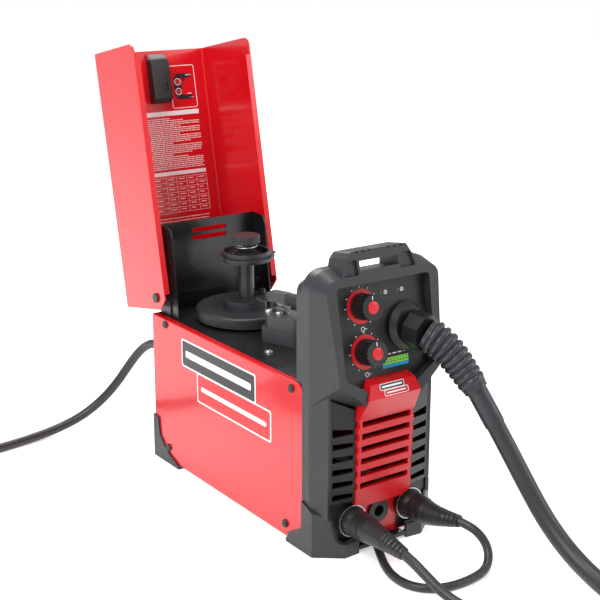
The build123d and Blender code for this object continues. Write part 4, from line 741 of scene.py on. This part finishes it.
# ---------------------------------------------------------------- bright fittings
deck = Seat(place(0, 0, 178.75), (1, 0, 0), (0, 0, 1))
heads = Shape()
for x, y in ((-14.7, 148.6), (-9.8, 135.8)):
    heads.turned(deck, (x, y), [(4, 29.8), (4, 31.4), (3.4, 32.4), (1.6, 32.8), (0.3, 32.8)], 32)
heads.piece("drive_screws", "case", bright_steel, "steel", smooth=35)
SPRING_RADIUS = 12.6
SPRING_PITCH = 0.13  # mm for each point of the wire, 22 to a turn
spring_curve = bpy.data.curves.new("brake_spring", "CURVE")
spring_curve.dimensions = "3D"
spring_curve.bevel_depth = 0.00065
spring_curve.bevel_resolution = 4
coils = spring_curve.splines.new("NURBS")
coils.points.add(27)
for index, knot in enumerate(coils.points):
    turn = 2 * math.pi * index / 22 + 2.4
    knot.co = (*place(7 + SPRING_RADIUS * math.cos(turn), 228 + SPRING_RADIUS * math.sin(turn),
                      263.2 + index * SPRING_PITCH), 1)
coils.order_u = 3
coils.use_endpoint_u = True
spring_curve.materials.append(bright_steel)
spring = bpy.data.objects.new("brake_spring", spring_curve)
scene.collection.objects.link(spring)
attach(spring, "case")

# ---------------------------------------------------------------- screw heads, socket surround and rings
def pan_head(shape, recess, seat, centre, rise):
    """A pan head over a screw, with a cross recess."""
    shape.turned(seat, centre, [(4.35, 0.02), (4.35, rise - 1.2), (4.0, rise - 0.5), (3.2, rise - 0.05),
                                (1.8, rise + 0.15), (0.2, rise + 0.2)], 36)
    for length, width in ((2.1, 0.5), (0.5, 2.1)):
        recess.bar(seat, (centre[0] - length, centre[0] + length), (centre[1] - width, centre[1] + width),
                   rise - 0.2, rise + 0.28)


SCREW_RISE = 2.2
heads = Shape()
recesses = Shape()
right_side = Seat(place(75, 0, 0), (0, 1, 0), (1, 0, 0))
for y, z in ((18, 171), (274.6, 172.5), (29.3, 18.5), (274.2, 19.8)):
    pan_head(heads, recesses, left_side, (-y, z), SCREW_RISE)
    pan_head(heads, recesses, right_side, (y, z), SCREW_RISE)
heads.piece("case_screw_heads", "case", LOOKS["dark_screw"], "dark_screw", smooth=35)
recesses.piece("case_screw_recesses", "case", LOOKS["black_plastic"], "dark_screw")
front_seat = Seat(place(0, 0, 0), (1, 0, 0), (0, -1, 0))
surround = Shape()
for hand in (-1, 1):
    surround.bar(front_seat, (hand * 62.6, hand * 24.5), (9, 57.6), 29.02, 29.4)
surround.piece("socket_surround", "case", LOOKS["black_plastic"], "black_plastic")
collars = Shape()
for x in (-37, 37):
    collars.loop(front_seat, ring_outline((x, 36.5), 16.9), ring_outline((x, 36.5), 16.3), 35.5, 36.35)
collars.piece("socket_rings", "case", bright_steel, "steel")
deck_head = Shape()
deck_cross = Shape()
pan_head(deck_head, deck_cross, deck, (-43, 107), SCREW_RISE)
deck_head.piece("deck_screw_head", "case", bright_steel, "steel", smooth=35)
deck_cross.piece("deck_screw_recess", "case", LOOKS["dark_screw"], "steel")
cross = Shape()
tray = Seat(place(0, 0, 6.0), (1, 0, 0), (0, 0, 1))
cross.bar(tray, (24.4, 29.6), (-35.6, -34.4), 0.02, 0.15)
cross.bar(tray, (26.4, 27.6), (-37.6, -32.4), 0.02, 0.16)
cross.piece("polarity_mark", "case", white_ink, "light_plastic")
